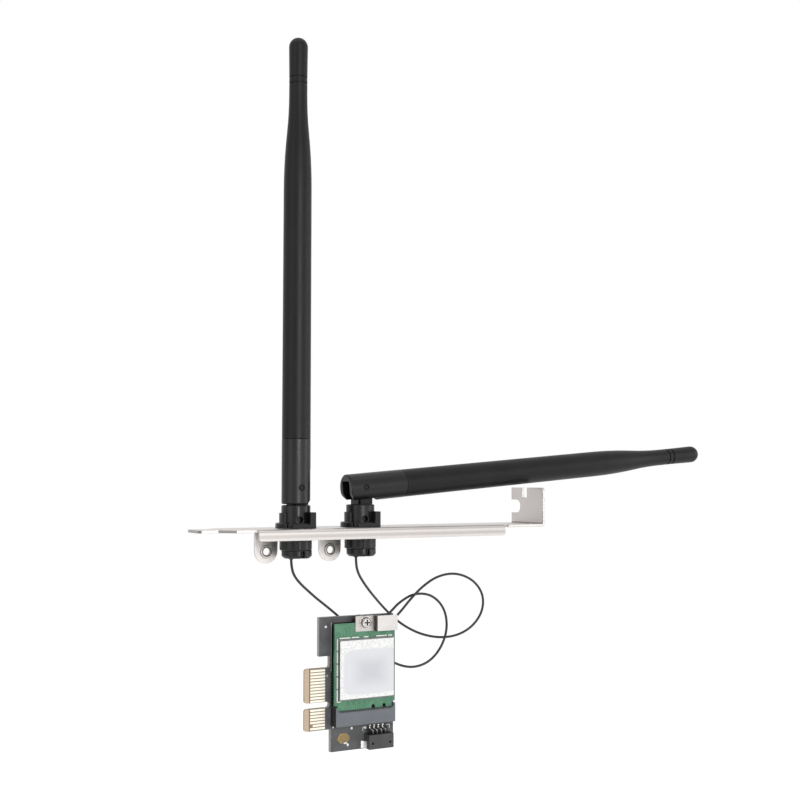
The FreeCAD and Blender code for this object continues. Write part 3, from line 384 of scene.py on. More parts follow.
plastics = {
    "aerialPlastic": {"dark": (0.0055, 0.0055, 0.006), "pale": (0.0085, 0.0085, 0.009), "rough": (0.38, 0.46),
                      "specular": 0.17, "grain": 4200.0, "depth": 12},
    "sleevePlastic": {"dark": (0.0045, 0.0045, 0.005), "pale": (0.007, 0.007, 0.0075), "rough": (0.30, 0.40),
                      "specular": 0.28, "grain": 4200.0, "depth": 12, "edge": 0.3},
    "basePlastic": {"dark": (0.004, 0.004, 0.0045), "pale": (0.009, 0.009, 0.010), "rough": (0.22, 0.36),
                    "specular": 0.25, "grain": 4200.0, "depth": 12, "edge": 0.45},
    "traceMask": {"dark": (0.085, 0.087, 0.091), "pale": (0.105, 0.107, 0.111), "rough": (0.34, 0.46),
                  "specular": 0.35, "grain": 9000.0, "depth": 5},
    "runMask": {"dark": (0.10, 0.26, 0.155), "pale": (0.13, 0.30, 0.185), "rough": (0.36, 0.48),
                "specular": 0.35, "grain": 9000.0, "depth": 5},
    "socketSlate": {"dark": (0.110, 0.120, 0.135), "pale": (0.138, 0.148, 0.163), "rough": (0.40, 0.52),
                    "specular": 0.34, "grain": 8000.0, "depth": 10, "edge": 0.15, "tints": socketTints},
    "headerBlack": {"dark": (0.040, 0.040, 0.041), "pale": (0.055, 0.055, 0.056), "rough": (0.4, 0.5),
                    "specular": 0.35, "grain": 8000.0, "depth": 10, "edge": 0.15, "tints": headerTopPaintedShade},
    "chipBlack": {"dark": (0.012, 0.012, 0.012), "pale": (0.02, 0.02, 0.02), "rough": (0.5, 0.6),
                  "specular": 0.3, "grain": 9000.0, "depth": 10},
    "ceramic": {"dark": (0.62, 0.60, 0.56), "pale": (0.72, 0.70, 0.66), "rough": (0.4, 0.5),
                "specular": 0.4, "grain": 6000.0, "depth": 10},
    "ink": {"dark": (0.70, 0.71, 0.69), "pale": (0.80, 0.80, 0.78), "rough": (0.55, 0.65),
            "specular": 0.3, "grain": 6000.0, "depth": 6},
    "jacket": {"dark": (0.008, 0.008, 0.009), "pale": (0.012, 0.012, 0.013), "rough": (0.36, 0.46),
               "specular": 0.36, "grain": 6000.0, "depth": 6},
}
# noise that is as fine along every axis
evenFine = (3000.0, 3000.0, 3000.0)
evenBroad = (2000.0, 2000.0, 2000.0)
metals = {
    "bracketSteel": {"dark": (0.52, 0.49, 0.475), "pale": (0.60, 0.57, 0.55), "rough": (0.30, 0.44),
                     "stretch": (60.0, 4000.0, 4000.0), "depth": 4, "patch": 60.0, "edge": 0.25,
                     "tints": bracketTints},
    "pinSteel": {"dark": (0.016, 0.016, 0.016), "pale": (0.028, 0.028, 0.028), "rough": (0.35, 0.5),
                 "stretch": (3000.0, 200.0, 3000.0), "depth": 2, "patch": 60.0},
    "tin": {"dark": (0.55, 0.55, 0.54), "pale": (0.68, 0.68, 0.67), "rough": (0.22, 0.36),
            "stretch": evenFine, "depth": 3},
    "dullTin": {"dark": (0.62, 0.62, 0.61), "pale": (0.76, 0.76, 0.75), "rough": (0.42, 0.56),
                "stretch": evenFine, "depth": 3, "metal": 0.5},
    "legTin": {"dark": (0.62, 0.62, 0.61), "pale": (0.76, 0.76, 0.75), "rough": (0.36, 0.5),
               "stretch": evenFine, "depth": 3, "metal": 0.5, "tints": legPaintedShade},
    # painted shade and painted dark reflection: the can's steel made dark, as its walls lie in shadow and its
    # lid's edges reflect dark
    "canSteel": {"dark": (0.15, 0.15, 0.15), "pale": (0.22, 0.22, 0.215), "rough": (0.24, 0.36),
                 "stretch": (900.0, 900.0, 9000.0), "depth": 3},
    "clipSteel": {"dark": (0.49, 0.47, 0.455), "pale": (0.56, 0.54, 0.525), "rough": (0.28, 0.42),
                  "stretch": (80.0, 6000.0, 6000.0), "depth": 2, "patch": 200.0, "edge": 0.1,
                  "tints": clipPaintedShade},
    "screwSteel": {"dark": (0.46, 0.44, 0.425), "pale": (0.62, 0.60, 0.58), "rough": (0.16, 0.30),
                   "stretch": evenBroad, "depth": 3, "edge": 0.1, "tints": screwTints},
    "gold": {"dark": (0.74, 0.69, 0.58), "pale": (0.82, 0.78, 0.685), "rough": (0.24, 0.36),
             "stretch": (300.0, 9000.0, 9000.0), "depth": 0, "patch": 400.0},
    "padBrass": {"dark": (0.165, 0.118, 0.052), "pale": (0.29, 0.22, 0.11), "rough": (0.34, 0.48),
                 "stretch": evenBroad, "depth": 2, "edge": 0.1, "tints": padTints},
    "brassPart": {"dark": (0.22, 0.165, 0.075), "pale": (0.31, 0.235, 0.11), "rough": (0.32, 0.46),
                  "stretch": evenBroad, "depth": 2},
}
boards = {
    "carrierMask": {"face": (0.068, 0.069, 0.072), "pour": (0.092, 0.093, 0.096), "tints": carrierTints},
    "moduleMask": {"face": (0.062, 0.172, 0.098), "pour": (0.098, 0.235, 0.148), "tints": moduleTints},
}
labelSheet = {
    "middle": (0.54, 0.545, 0.575),
    "inner": (0.65, 0.655, 0.68),
    "border": (0.59, 0.59, 0.58),
    "speck": (0.85, 0.85, 0.845),
    "place": (20.15, -47.1),
    "half": (10.2, 7.4),
    "corner": 6.0,
    "fade": (0.1, 0.85),
    "outline": (0.91, 1.04),
    "grain": 2900.0,
    "contrast": (7.0, -2.75),
    "rough": (0.42, 0.58),
    "specular": 0.3,
    "depth": 10,
}
finishes = {"labelPaper": labelFinish("labelPaper", labelSheet)}
for make, family in ((plasticFinish, plastics), (metalFinish, metals), (boardFinish, boards)):
    for name, settings in family.items():
        finishes[name] = make(name, **settings)
print("finishes made:", len(finishes))

nodeFinishes = {
    "bracketSteel": ["bracket"],
    "carrierMask": ["carrier_board"],
    "moduleMask": ["module_board"],
    "gold": ["edge_fingers", "module_contacts", "aerial_jacks"],
    "padBrass": ["ground_pad"],
    "ceramic": ["board_passives"],
    "socketSlate": ["module_socket"],
    "tin": ["socket_tails", "header_pins", "header_nails"],
    "canSteel": ["shield_frame", "shield_lid"],
    "labelPaper": ["blank_label"],
    "chipBlack": ["radio_chips"],
    "clipSteel": ["retainer_clip"],
    "screwSteel": ["clip_screw"],
    "headerBlack": ["header_housing"],
    "brassPart": ["standoff"],
}
pairFinishes = {
    "aerialPlastic": ["radome", "knuckle"],
    "sleevePlastic": ["sleeve"],
    "basePlastic": ["socket", "lock_ring", "nut", "lead_cap"],
    "pinSteel": ["hinge_pin"],
    "brassPart": ["radiator", "lead_plug"],
    "jacket": ["lead"],
}


def paint(thing, finish):
    thing.data.materials.clear()
    thing.data.materials.append(finishes[finish])


for finish, names in nodeFinishes.items():
    for name in names:
        paint(nodes[name], finish)
for finish, parts in pairFinishes.items():
    for name in [f"{side}_{part}" for side in bothSides for part in parts]:
        paint(nodes[name], finish)
print("nodes painted")


# shapes: each gives points in millimetres and faces; all are worked out as whole arrays
def boxOf(name):
    low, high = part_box(name)
    return np.array(low) / mm, np.array(high) / mm


def placesAt(*axes):
    # one place for each value, where an axis may also be a single number
    return np.stack(np.broadcast_arrays(*axes), -1).astype(float)


def gridFaces(rows, columns, wrapRows=False):
    # quads between neighbouring rows and columns of a grid whose columns close on themselves
    r = np.arange(rows if wrapRows else rows - 1)[:, None]
    c = np.arange(columns)[None, :]
    here, above = r * columns, (r + 1) % rows * columns
    after = (c + 1) % columns
    return np.stack([here + c, here + after, above + after, above + c], -1).reshape(-1, 4).tolist()


def tubeFaces(rows, columns):
    # the grid's quads, with its first and last rows closed
    last = (rows - 1) * columns
    return gridFaces(rows, columns) + [list(range(columns)), list(range(last, last + columns))]


def joined(*shapes):
    points, faces, base = [], [], 0
    for somePoints, someFaces in shapes:
        points.append(somePoints)
        faces += [[index + base for index in face] for face in someFaces]
        base += len(somePoints)
    return np.concatenate(points), faces


def repeatedFaces(faces, size, count):
    # the same faces for each of count copies that have size points each
    return [[index + size * copy for index in face] for copy in range(count) for face in faces]


def copiesOf(shape, places):
    # the same shape at each place
    points, faces = shape
    places = np.asarray(places, float)
    moved = (places[:, None] + points).reshape(-1, 3)
    return moved, repeatedFaces(faces, len(points), len(places))


def turned(profile, around, way=-1.0, closed=False):
    # a profile of (radius, height) turned about the Y axis; height runs along way, and open ends are capped
    radius, height = np.asarray(profile, float).T[:, :, None]
    angle = np.linspace(0, 2 * np.pi, around, endpoint=False)
    points = placesAt(radius * np.cos(angle), way * height, radius * np.sin(angle)).reshape(-1, 3)
    rows = len(profile)
    return points, gridFaces(rows, around, wrapRows=True) if closed else tubeFaces(rows, around)


def domeProfile(radius, height, rings, flat=0.12):
    # a quarter of an oval from the rim up, stopped short of the top by the angle flat
    swell = np.linspace(0, np.pi / 2 - flat, rings)
    return np.stack([np.cos(swell) * radius, np.sin(swell) * height], 1)


def squaredCircle(count, power):
    # a circle whose sides grow flatter as the power falls
    turn = np.linspace(0, 2 * np.pi, count, endpoint=False)
    wave = np.stack([np.cos(turn), np.sin(turn)], 1)
    return np.sign(wave) * np.abs(wave) ** power


def strokes(starts, ends, width, face, height, way=-1.0, arc=5):
    # flat strokes with round ends: a half circle about each end, carried from the face to the stroke's height
    starts, ends = np.asarray(starts, float), np.asarray(ends, float)
    heading = np.arctan2(ends[:, 1] - starts[:, 1], ends[:, 0] - starts[:, 0])
    half = np.linspace(-np.pi / 2, np.pi / 2, arc)
    angle = heading[:, None] + np.concatenate([half, half + np.pi])
    centre = np.repeat(np.stack([ends, starts], 1), arc, axis=1)
    rim = centre + width / 2 * np.stack([np.cos(angle), np.sin(angle)], -1)
    low = np.insert(rim, 1, face, axis=2)
    points = np.concatenate([low, low + [0, way * height, 0]], 1).reshape(-1, 3)
    return points, repeatedFaces(tubeFaces(2, 2 * arc), 4 * arc, len(starts))


def barAlong(path, section, normal):
    # a section of (sideways, upwards) points carried along a flat path; sideways is the plane's normal,
    # and at a bend the section lies on the line that halves it, stretched so the bar keeps its width
    path, section, normal = (np.asarray(values, float) for values in (path, section, normal))
    runs = np.diff(path, axis=0)
    runs /= np.linalg.norm(runs, axis=1, keepdims=True)
    after = np.concatenate([runs, runs[-1:]])
    tangent = np.concatenate([runs[:1], runs]) + after
    tangent /= np.linalg.norm(tangent, axis=1, keepdims=True)
    up = np.cross(tangent, normal) / np.sum(tangent * after, axis=1, keepdims=True)
    points = path[:, None] + section[None, :, :1] * normal + section[None, :, 1:] * up[:, None]
    return points.reshape(-1, 3), tubeFaces(len(path), len(section))


def flatRuns(paths, width, face, height, way=-1.0):
    # thin strips that lie on a face and follow paths of (x, z) corners
    half, rise = width / 2, way * height
    section = [(0, -half), (rise, -half), (rise, half), (0, half)]
    paths = np.insert(np.asarray(paths, float), 1, face, axis=2)
    return joined(*[barAlong(path, section, (0, 1, 0)) for path in paths])


def addPiece(name, shape, finish, body="base", sharp=35.0):
    points, faces = shape
    mesh = bpy.data.meshes.new(name)
    mesh.from_pydata((points * mm).tolist(), [], faces)
    work = bmesh.new()
    work.from_mesh(mesh)
    bmesh.ops.recalc_face_normals(work, faces=work.faces)
    work.to_mesh(mesh)
    work.free()
    mesh.polygons.foreach_set("use_smooth", np.ones(len(mesh.polygons), bool))
    mesh.set_sharp_from_angle(angle=math.radians(sharp))
    piece = bpy.data.objects.new(name, mesh)
    scene.collection.objects.link(piece)
    paint(piece, finish)
    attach(piece, body)
    return piece


# white ink on the radio module: broken lines above the can and beside it, and a short one at its foot
moduleInk = {
    "width": 0.40,
    "height": 0.015,
    "gap": 0.12,
    "topRuns": [(0.03, 0.21), (0.25, 0.37), (0.47, 0.54), (0.70, 0.88), (0.92, 0.98)],
    "sideRuns": 5,
    "sideBreak": 0.35,
    "footEnd": 0.9,
    "footWidth": 0.28,
}


def addModuleInk(s):
    face = boxOf("module_board")[0][1]
    low, high = boxOf("shield_frame")
    inset = s["gap"] + s["width"] / 2
    left, top, foot = low[0] - inset, high[2] + inset, low[2] - inset
    runs = low[0] + np.array(s["topRuns"]) * (high[0] - low[0])
    above = strokes(placesAt(runs[:, 0], top), placesAt(runs[:, 1], top), s["width"], face, s["height"])
    ends = np.linspace(top, foot, s["sideRuns"] + 1)
    spare = (s["sideBreak"] + s["width"]) / 2
    starts, stops = placesAt(left, ends[:-1] - spare), placesAt(left, ends[1:] + spare)
    beside = strokes(starts, stops, s["width"], face, s["height"])
    below = strokes([(left, foot)], [(low[0] + s["footEnd"], foot)], s["footWidth"], face, s["height"])
    addPiece("module_ink", joined(above, beside, below), "ink")


addModuleInk(moduleInk)

# white ink on the carrier board: the module's side line, corner lines round the header, a mark and a dot;
# a crown is the share of the radius and of the height at the middle of a mark
carrierInk = {
    "line": 0.16,
    "height": 0.015,
    "sideLine": 7.85,
    "sideEnd": -46.8,
    "headerGap": 0.45,
    "headerRise": 1.6,
    "headerCorner": 1.3,
    "mark": {"place": (8.75, -64.5), "radius": 0.62, "around": 3, "crown": (0.2, 1.1)},
    "dot": {"place": (13.9, -70.75), "radius": 0.42, "around": 20, "crown": (0.3, 1.2)},
}


def addCarrierInk(s):
    face = boxOf("carrier_board")[0][1]
    low, high = boxOf("header_housing")
    start, end = (s["sideLine"], boxOf("module_board")[1][2]), (s["sideLine"], s["sideEnd"])
    shapes = [strokes([start], [end], s["line"], face, s["height"])]
    top, reach = high[2] + s["headerGap"] + s["headerRise"], s["headerCorner"]
    corners = [[(edge + inwards, top), (edge, top), (edge, top - reach)]
               for edge, inwards in ((low[0] - s["headerGap"], reach), (high[0] + s["headerGap"], -reach))]
    shapes.append(flatRuns(corners, s["line"], face, s["height"]))
    for spot in (s["mark"], s["dot"]):
        (x, z), radius, crown = spot["place"], spot["radius"], spot["crown"]
        profile = [(radius, 0), (radius, s["height"]), (radius * crown[0], s["height"] * crown[1])]
        shapes.append(copiesOf(turned(profile, spot["around"]), [(x, face, z)]))
    addPiece("carrier_ink", joined(*shapes), "ink")


addCarrierInk(carrierInk)
print("ink laid")

# copper runs under the mask: short ones at the front fingers, nested bends on the back
copperRuns = {
    "width": 0.22,
    "height": 0.018,
    "first": -46.3,
    "pitch": 0.96,
    "count": 11,
    "start": 5.72,
    "frontEnd": 8.6,
    "backRuns": [0, 1, 3, 4, 6, 7, 9, 10],
    "backFirst": 25.5,
    "backStep": 2.0,
    "backFoot": -62.4,
    "bend": 1.2,
}


def addCopper(s):
    low, high = boxOf("carrier_board")
    rows = s["first"] - s["pitch"] * np.arange(s["count"])
    starts, ends = placesAt(s["start"], rows), placesAt(s["frontEnd"], rows)
    front = strokes(starts, ends, s["width"], low[1], s["height"])
    rows = rows[s["backRuns"]]
    across = s["backFirst"] - s["backStep"] * np.arange(len(rows))
    feet = placesAt(across, s["backFoot"])
    corners = [placesAt(s["start"], rows), placesAt(across - s["bend"], rows),
               placesAt(across, rows - s["bend"]), feet]
    back = flatRuns(np.stack(corners, 1), s["width"], high[1], s["height"], 1.0)
    addPiece("copper_runs", joined(front, back), "traceMask")
    return feet


runEnds = addCopper(copperRuns)

# copper runs on the module: straight ones from the can down to the socket's mouth, bent ones above the can
moduleRuns = {
    "width": 0.17,
    "height": 0.012,
    "pitch": 0.66,
    "margins": (0.6, 0.3),
    "top": 0.45,
    "drop": 0.275,
    "mouth": 1.0,
    "notches": (3.0, 7.0),
    "clear": 0.8,
    "bends": 4,
    "bendFirst": 1.2,
    "bendStep": 1.1,
    "bendFoot": 0.9,
    "bendRise": 2.1,
    "bendSpread": 0.5,
    "bendCut": 0.6,
    "bendEnd": 0.9,
}


def addModuleRuns(s):
    boardLow, boardHigh = boxOf("module_board")
    face, mouth = boardLow[1], boardLow[2] + s["mouth"]
    low, high = boxOf("shield_frame")
    across = np.arange(low[0] + s["margins"][0], high[0] - s["margins"][1], s["pitch"])
    # every third run starts higher, the rest start part of the way down
    shorter = np.arange(len(across)) % 3 > 0
    start = low[2] - s["top"] - shorter * s["drop"] * (low[2] - mouth)
    # no run crosses the board's two key notches, which lie to the right of its middle
    keys = (boardLow[0] + boardHigh[0]) / 2 + np.array(s["notches"])
    clear = np.abs(across[:, None] - keys).min(1) > s["clear"]
    across, start = across[clear], start[clear]
    runs = strokes(placesAt(across, start), placesAt(across, mouth), s["width"], face, s["height"])
    step = np.arange(s["bends"])
    column = low[0] + s["bendFirst"] + s["bendStep"] * step
    level = high[2] + s["bendRise"] + s["bendSpread"] * step
    corners = [placesAt(column, high[2] + s["bendFoot"]), placesAt(column, level),
               placesAt(column - s["bendCut"], level + s["bendCut"]),
               placesAt(low[0] - s["bendEnd"], level + s["bendCut"])]
    bends = flatRuns(np.stack(corners, 1), s["width"], face, s["height"])
    addPiece("module_runs", joined(runs, bends), "runMask")


addModuleRuns(moduleRuns)

# plated holes: one at the foot of each run on the back, three on the front, a ring under the standoff,
# and a filled one in the corner; a profile lists radius and height, a bead is radius, height and rings
platedHoles = {
    "via": [(0.16, -0.02), (0.16, 0.018), (0.26, 0.03), (0.36, 0.015), (0.36, -0.02)],
    "viaAround": 18,
    "frontVias": [(15.3, -65.6), (20.3, -65.9), (6.6, -48.2)],
    "ring": [(1.1, -0.02), (1.1, 0.025), (1.3, 0.05), (1.8, 0.05), (2.1, -0.02)],
    "ringAround": 40,
    "bead": (0.44, 0.12, 5),
    "beadAround": 28,
    "corner": (5.95, -32.55),
}


def addPlating(s):
    low, high = boxOf("carrier_board")
    back = turned(s["via"], s["viaAround"], 1.0, closed=True)
    back = copiesOf(back, np.insert(runEnds, 1, high[1], axis=1))
    front = turned(s["via"], s["viaAround"], closed=True)
    front = copiesOf(front, np.insert(np.array(s["frontVias"]), 1, low[1], axis=1))
    addPiece("board_vias", joined(back, front), "gold")
    x, z = (sum(boxOf("standoff")) / 2)[[0, 2]]
    ring = copiesOf(turned(s["ring"], s["ringAround"], 1.0, closed=True), [(x, high[1], z)])
    bead, (x, z) = domeProfile(*s["bead"]), s["corner"]
    front = copiesOf(turned(bead, s["beadAround"]), [(x, low[1], z)])
    back = copiesOf(turned(bead, s["beadAround"], 1.0), [(x, high[1], z)])
    addPiece("board_beads", joined(ring, front, back), "dullTin", sharp=50.0)


addPlating(platedHoles)
print("copper and plating done")

# header legs: each comes up out of the housing, swings over to the board and ends in a foot
headerLegs = {
    "count": 4,
    "width": 0.46,
    "thick": 0.30,
    "inset": 0.25,
    "swing": 1.25,
    "rise": 0.55,
    "foot": 0.35,
    "steps": 46,
    "around": 12,
    "power": 0.5,
}


def smoothStep(share):
    share = np.clip(share, 0, 1)
    return share * share * (3 - 2 * share)


def legColumns(s):
    low, high = boxOf("header_pins")
    return np.linspace(low[0] + s["inset"], high[0] - s["inset"], s["count"])


def addLegs(s):
    low = boxOf("header_pins")[0]
    start = low[1] + s["inset"]
    # the heading swings smoothly from straight up to straight back and up again; the path is its running sum
    over = boxOf("carrier_board")[0][1] - s["thick"] / 2 - start - s["swing"]
    first = boxOf("header_housing")[1][2] + s["rise"] - low[2]
    along, step = np.linspace(0, first + 2 * s["swing"] + over + s["foot"], s["steps"], retstep=True)
    back = smoothStep((along - first) / s["swing"])
    upright = smoothStep((along - first - s["swing"] - over) / s["swing"])
    heading = np.pi / 2 * (back - upright)
    depth, height = np.cumsum(np.sin(heading)), np.cumsum(np.cos(heading))
    path = placesAt(0.0, start + step * (depth - depth[0]), low[2] + step * (height - height[0]))
    section = squaredCircle(s["around"], s["power"]) * [s["width"] / 2, s["thick"] / 2]
    legs = copiesOf(barAlong(path, section, (1, 0, 0)), placesAt(legColumns(s), 0.0, 0.0))
    piece = addPiece("header_legs", legs, "legTin", sharp=50.0)
    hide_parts("header_pins")
    return path[-1, 2]


# solder: a small mound over each socket tail and over each header foot; a mound is radius, height and rings
solderMounds = {
    "tails": 36,
    "tailInset": 0.12,
    "tailMound": (0.17, 0.2, 5),
    "tailAround": 10,
    "footMound": (0.42, 0.3, 5),
    "footAround": 16,
    "shift": 0.1,
}


def addSolder(s, footEnd):
    face = boxOf("carrier_board")[0][1]
    low, high = boxOf("socket_tails")
    rows = np.linspace(low[0] + s["tailInset"], high[0] - s["tailInset"], s["tails"])
    tails = placesAt(rows, face, low[2] + s["shift"])
    feet = placesAt(legColumns(headerLegs), face, footEnd - s["shift"])
    small = copiesOf(turned(domeProfile(*s["tailMound"]), s["tailAround"]), tails)
    large = copiesOf(turned(domeProfile(*s["footMound"]), s["footAround"]), feet)
    addPiece("solder_mounds", joined(small, large), "tin", sharp=70.0)


addSolder(solderMounds, addLegs(headerLegs))

# header anchors: a tab against each end of the housing and a hollow fillet of solder that runs out
headerAnchors = {"tab": 0.28, "tabRise": 1.7, "lip": 0.12, "climb": 0.85, "steps": 12}


def addAnchors(s):
    low, high = boxOf("header_nails")
    housingLow, housingHigh = boxOf("header_housing")
    face, top = high[1], high[1] - s["tabRise"]
    turn = np.linspace(0, np.pi / 2, s["steps"])
    shapes = []
    for wall, outer, sign in ((housingLow[0], low[0], -1.0), (housingHigh[0], high[0], 1.0)):
        tab = wall + sign * s["tab"]
        run = sign * (abs(outer - wall) - s["tab"])
        fillet = placesAt(tab + run * (1 - np.sin(turn)), face - s["lip"] - s["climb"] * (1 - np.cos(turn)))
        outline = np.concatenate([[(wall, face), (outer, face)], fillet, [(tab, top), (wall, top)]])
        ends = [np.insert(outline, 2, z, axis=1) for z in (low[2], high[2])]
        shapes.append((np.concatenate(ends), tubeFaces(2, len(outline))))
    piece = addPiece("header_anchors", joined(*shapes), "dullTin", sharp=40.0)
    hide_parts("header_nails")


addAnchors(headerAnchors)
print("header dressed")

# dark strips along the socket's mouth, folded over its front edge: painted shade standing in for the contact
# slits
socketSlits = {
    "count": 34,
    "margin": 1.6,
    "grip": 2.3,
    "width": 0.26,
    "thick": 0.06,
    "deep": 0.55,
    "over": 0.5,
    "bevel": 0.2,
    "proud": 0.012,
}


def addSlits(s):
    low, high = boxOf("module_socket")
    mouth = boxOf("module_board")[0][2] + s["grip"]
    front, top = low[1] - s["proud"], mouth + s["proud"]
    fold = [(0, front, mouth - s["over"]), (0, front, mouth - s["bevel"]), (0, front + s["bevel"], top),
            (0, low[1] + s["deep"], top)]
    half, thick = s["width"] / 2, s["thick"]
    slit = barAlong(fold, [(-half, 0), (half, 0), (half, -thick), (-half, -thick)], (1, 0, 0))
    middles = np.linspace(low[0] + s["margin"], high[0] - s["margin"], s["count"])
    addPiece("socket_slits", copiesOf(slit, placesAt(middles, 0.0, 0.0)), "chipBlack")


addSlits(socketSlits)

# the small chip part on the ground pad: a rounded body between two bright ends;
# draw gives how far in from each end the full section starts, and the section's share at the end
chipPart = {
    "endShare": 0.27,
    "bodyShare": 0.216,
    "bodySize": 0.9,
    "power": 0.35,
    "around": 24,
    "draw": (0.04, 0.86),
}


def addChip(s):
    low, high = boxOf("board_passives")
    middle, size = (low + high) / 2, (high - low) / 2
    section = squaredCircle(s["around"], s["power"])

    def loaf(start, end, grow=1.0):
        # the section is carried along X and drawn in at both ends
        run, share = s["draw"]
        x = np.array([start, start + run, end - run, end])[:, None]
        draw = np.array([share, 1.0, 1.0, share])[:, None] * grow
        y, z = (middle[axis] + draw * section[:, column] * size[axis] for axis, column in ((1, 0), (2, 1)))
        return placesAt(x, y, z).reshape(-1, 3), tubeFaces(len(x), len(section))

    end, inner = 2 * size[0] * s["endShare"], 2 * size[0] * s["bodyShare"]
    body = addPiece("chip_body", loaf(low[0] + inner, high[0] - inner, s["bodySize"]), "ceramic")
    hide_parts("board_passives")
    ends = joined(loaf(low[0], low[0] + end), loaf(high[0] - end, high[0]))
    addPiece("chip_ends", ends, "tin")


addChip(chipPart)

# latch dimples in the can's walls; a dome is radius, height, rings and the angle left flat
canDimples = {"dome": (0.2, 0.07, 4, 0.1), "around": 12, "along": 6, "down": 5}


def addDimples(s):
    low, high = boxOf("shield_frame")
    points, faces = turned(domeProfile(*s["dome"]), s["around"], 1.0)
    level = (low[1] + high[1]) / 2
    xs = np.linspace(low[0], high[0], s["along"] + 2)[1:-1]
    zs = np.linspace(low[2], high[2], s["down"] + 2)[1:-1]
    beside = [placesAt(wall[0], level, zs) for wall in (high, low)]
    above = [placesAt(xs, level, wall[2]) for wall in (high, low)]
    shapes = []
    # the dimple's own axis is turned from Y to each wall's outward side
    for order, walls in (([1, 0, 2], beside), ([0, 2, 1], above)):
        for sign, places in zip((1, -1), walls):
            shapes.append(copiesOf(((points * [1, sign, 1])[:, order], faces), places))
    addPiece("can_dimples", joined(*shapes), "canSteel", sharp=60.0)


addDimples(canDimples)
print("module dressed")

# screw threads in the bracket's ears: a triangular ridge that winds up the bore
earThreads = {
    "bore": 1.25,
    "sunk": 0.02,
    "ridge": 0.13,
    "foot": 0.2,
    "pitch": 0.5,
    "length": 1.06,
    "inset": 0.15,
    "fade": 1.2,
    "least": 0.02,
    "around": 40,
}


def addThreads(s):
    turns = s["length"] / s["pitch"]
    angle = np.linspace(0, 2 * np.pi * turns, int(s["around"] * turns))
    depth = boxOf("bracket")[1][1] - s["inset"] - s["pitch"] * angle / (2 * np.pi)
    # rows of three: foot, crest, foot; the ridge fades in and out at its ends
    fade = np.clip(np.minimum(angle, angle[-1] - angle) / s["fade"], s["least"], 1)
    foot = s["bore"] + s["sunk"]
    radius = placesAt(foot, s["bore"] - s["ridge"] * fade, foot)
    shift = np.array([s["foot"], 0.0, -s["foot"]])
    x, z = radius * np.cos(angle)[:, None], radius * np.sin(angle)[:, None]
    points = placesAt(x, depth[:, None] + shift, z).reshape(-1, 3)
    places = [(across, 0.0, up) for across, up in earSpots]
    threads = copiesOf((points, tubeFaces(len(angle), 3)), places)
    addPiece("ear_threads", threads, "bracketSteel", sharp=50.0)


addThreads(earThreads)

# a small collar where each lead leaves its cap
leadCollars = {
    "profile": [(0.42, 0.0), (0.82, 0.0), (0.82, 0.16), (0.66, 0.34), (0.52, 0.40), (0.42, 0.36)],
    "offset": -1.5,
    "sunk": 0.02,
    "around": 28,
}


def addCollars(s):
    # the profile is turned about the lead, with its height laid along -Z
    points, faces = turned(s["profile"], s["around"], 1.0, closed=True)
    points = points[:, [0, 2, 1]] * [1, 1, -1]
    places = []
    for side in bothSides:
        middle = sum(boxOf(f"{side}_nut")) / 2
        places.append((middle[0] + s["offset"], 0.0, boxOf(f"{side}_lead_cap")[0][2] + s["sunk"]))
    addPiece("lead_collars", copiesOf((points, faces), places), "basePlastic", sharp=50.0)


addCollars(leadCollars)

# hinge ends: a low dome over the pin and a thin rim round its seat, front and back;
# the dome is radius, height, rings and the angle left flat
hingeEnds = {
    "dome": (0.52, 0.22, 5, 0.15),
    "domeAround": 24,
    "sunk": 0.02,
    "rimRadius": 1.0,
    "rimWidth": 0.16,
    "rimHeight": 0.07,
    "rimAround": (40, 8),
    "sleeve": 4.45,
    "lean": {"left": 0.0, "right": 85.1},
}


def addHingeEnds(s, side):
    low, high = boxOf(f"{side}_hinge_pin")
    middle = (low + high) / 2
    dome = turned(domeProfile(*s["dome"]), s["domeAround"])
    u, v = (np.linspace(0, 2 * np.pi, count, endpoint=False) for count in s["rimAround"])
    u = u[:, None]
    # the rim is a ring whose middle line lies on the sleeve's round side
    radius = s["rimRadius"] + s["rimWidth"] / 2 * np.cos(v)
    across, along = radius * np.cos(u), radius * np.sin(u)
    level = np.sqrt(s["sleeve"] ** 2 - across ** 2) + s["rimHeight"] * np.sin(v)
    lean = math.radians(s["lean"][side])
    x = across * math.cos(lean) + along * math.sin(lean)
    z = along * math.cos(lean) - across * math.sin(lean)
    rim = (placesAt(x, -level, z).reshape(-1, 3), gridFaces(*s["rimAround"], wrapRows=True))
    front = joined(copiesOf(dome, [(0, low[1] + s["sunk"], 0)]), rim)
    back = (front[0] * [1, -1, 1], front[1])
    shape = copiesOf(joined(front, back), [(middle[0], 0, middle[2])])
    addPiece(f"{side}_hinge_ends", shape, "sleevePlastic", f"{side}_rod", 50.0)


for side in bothSides:
    addHingeEnds(hingeEnds, side)
print("threads, collars and hinge ends done")

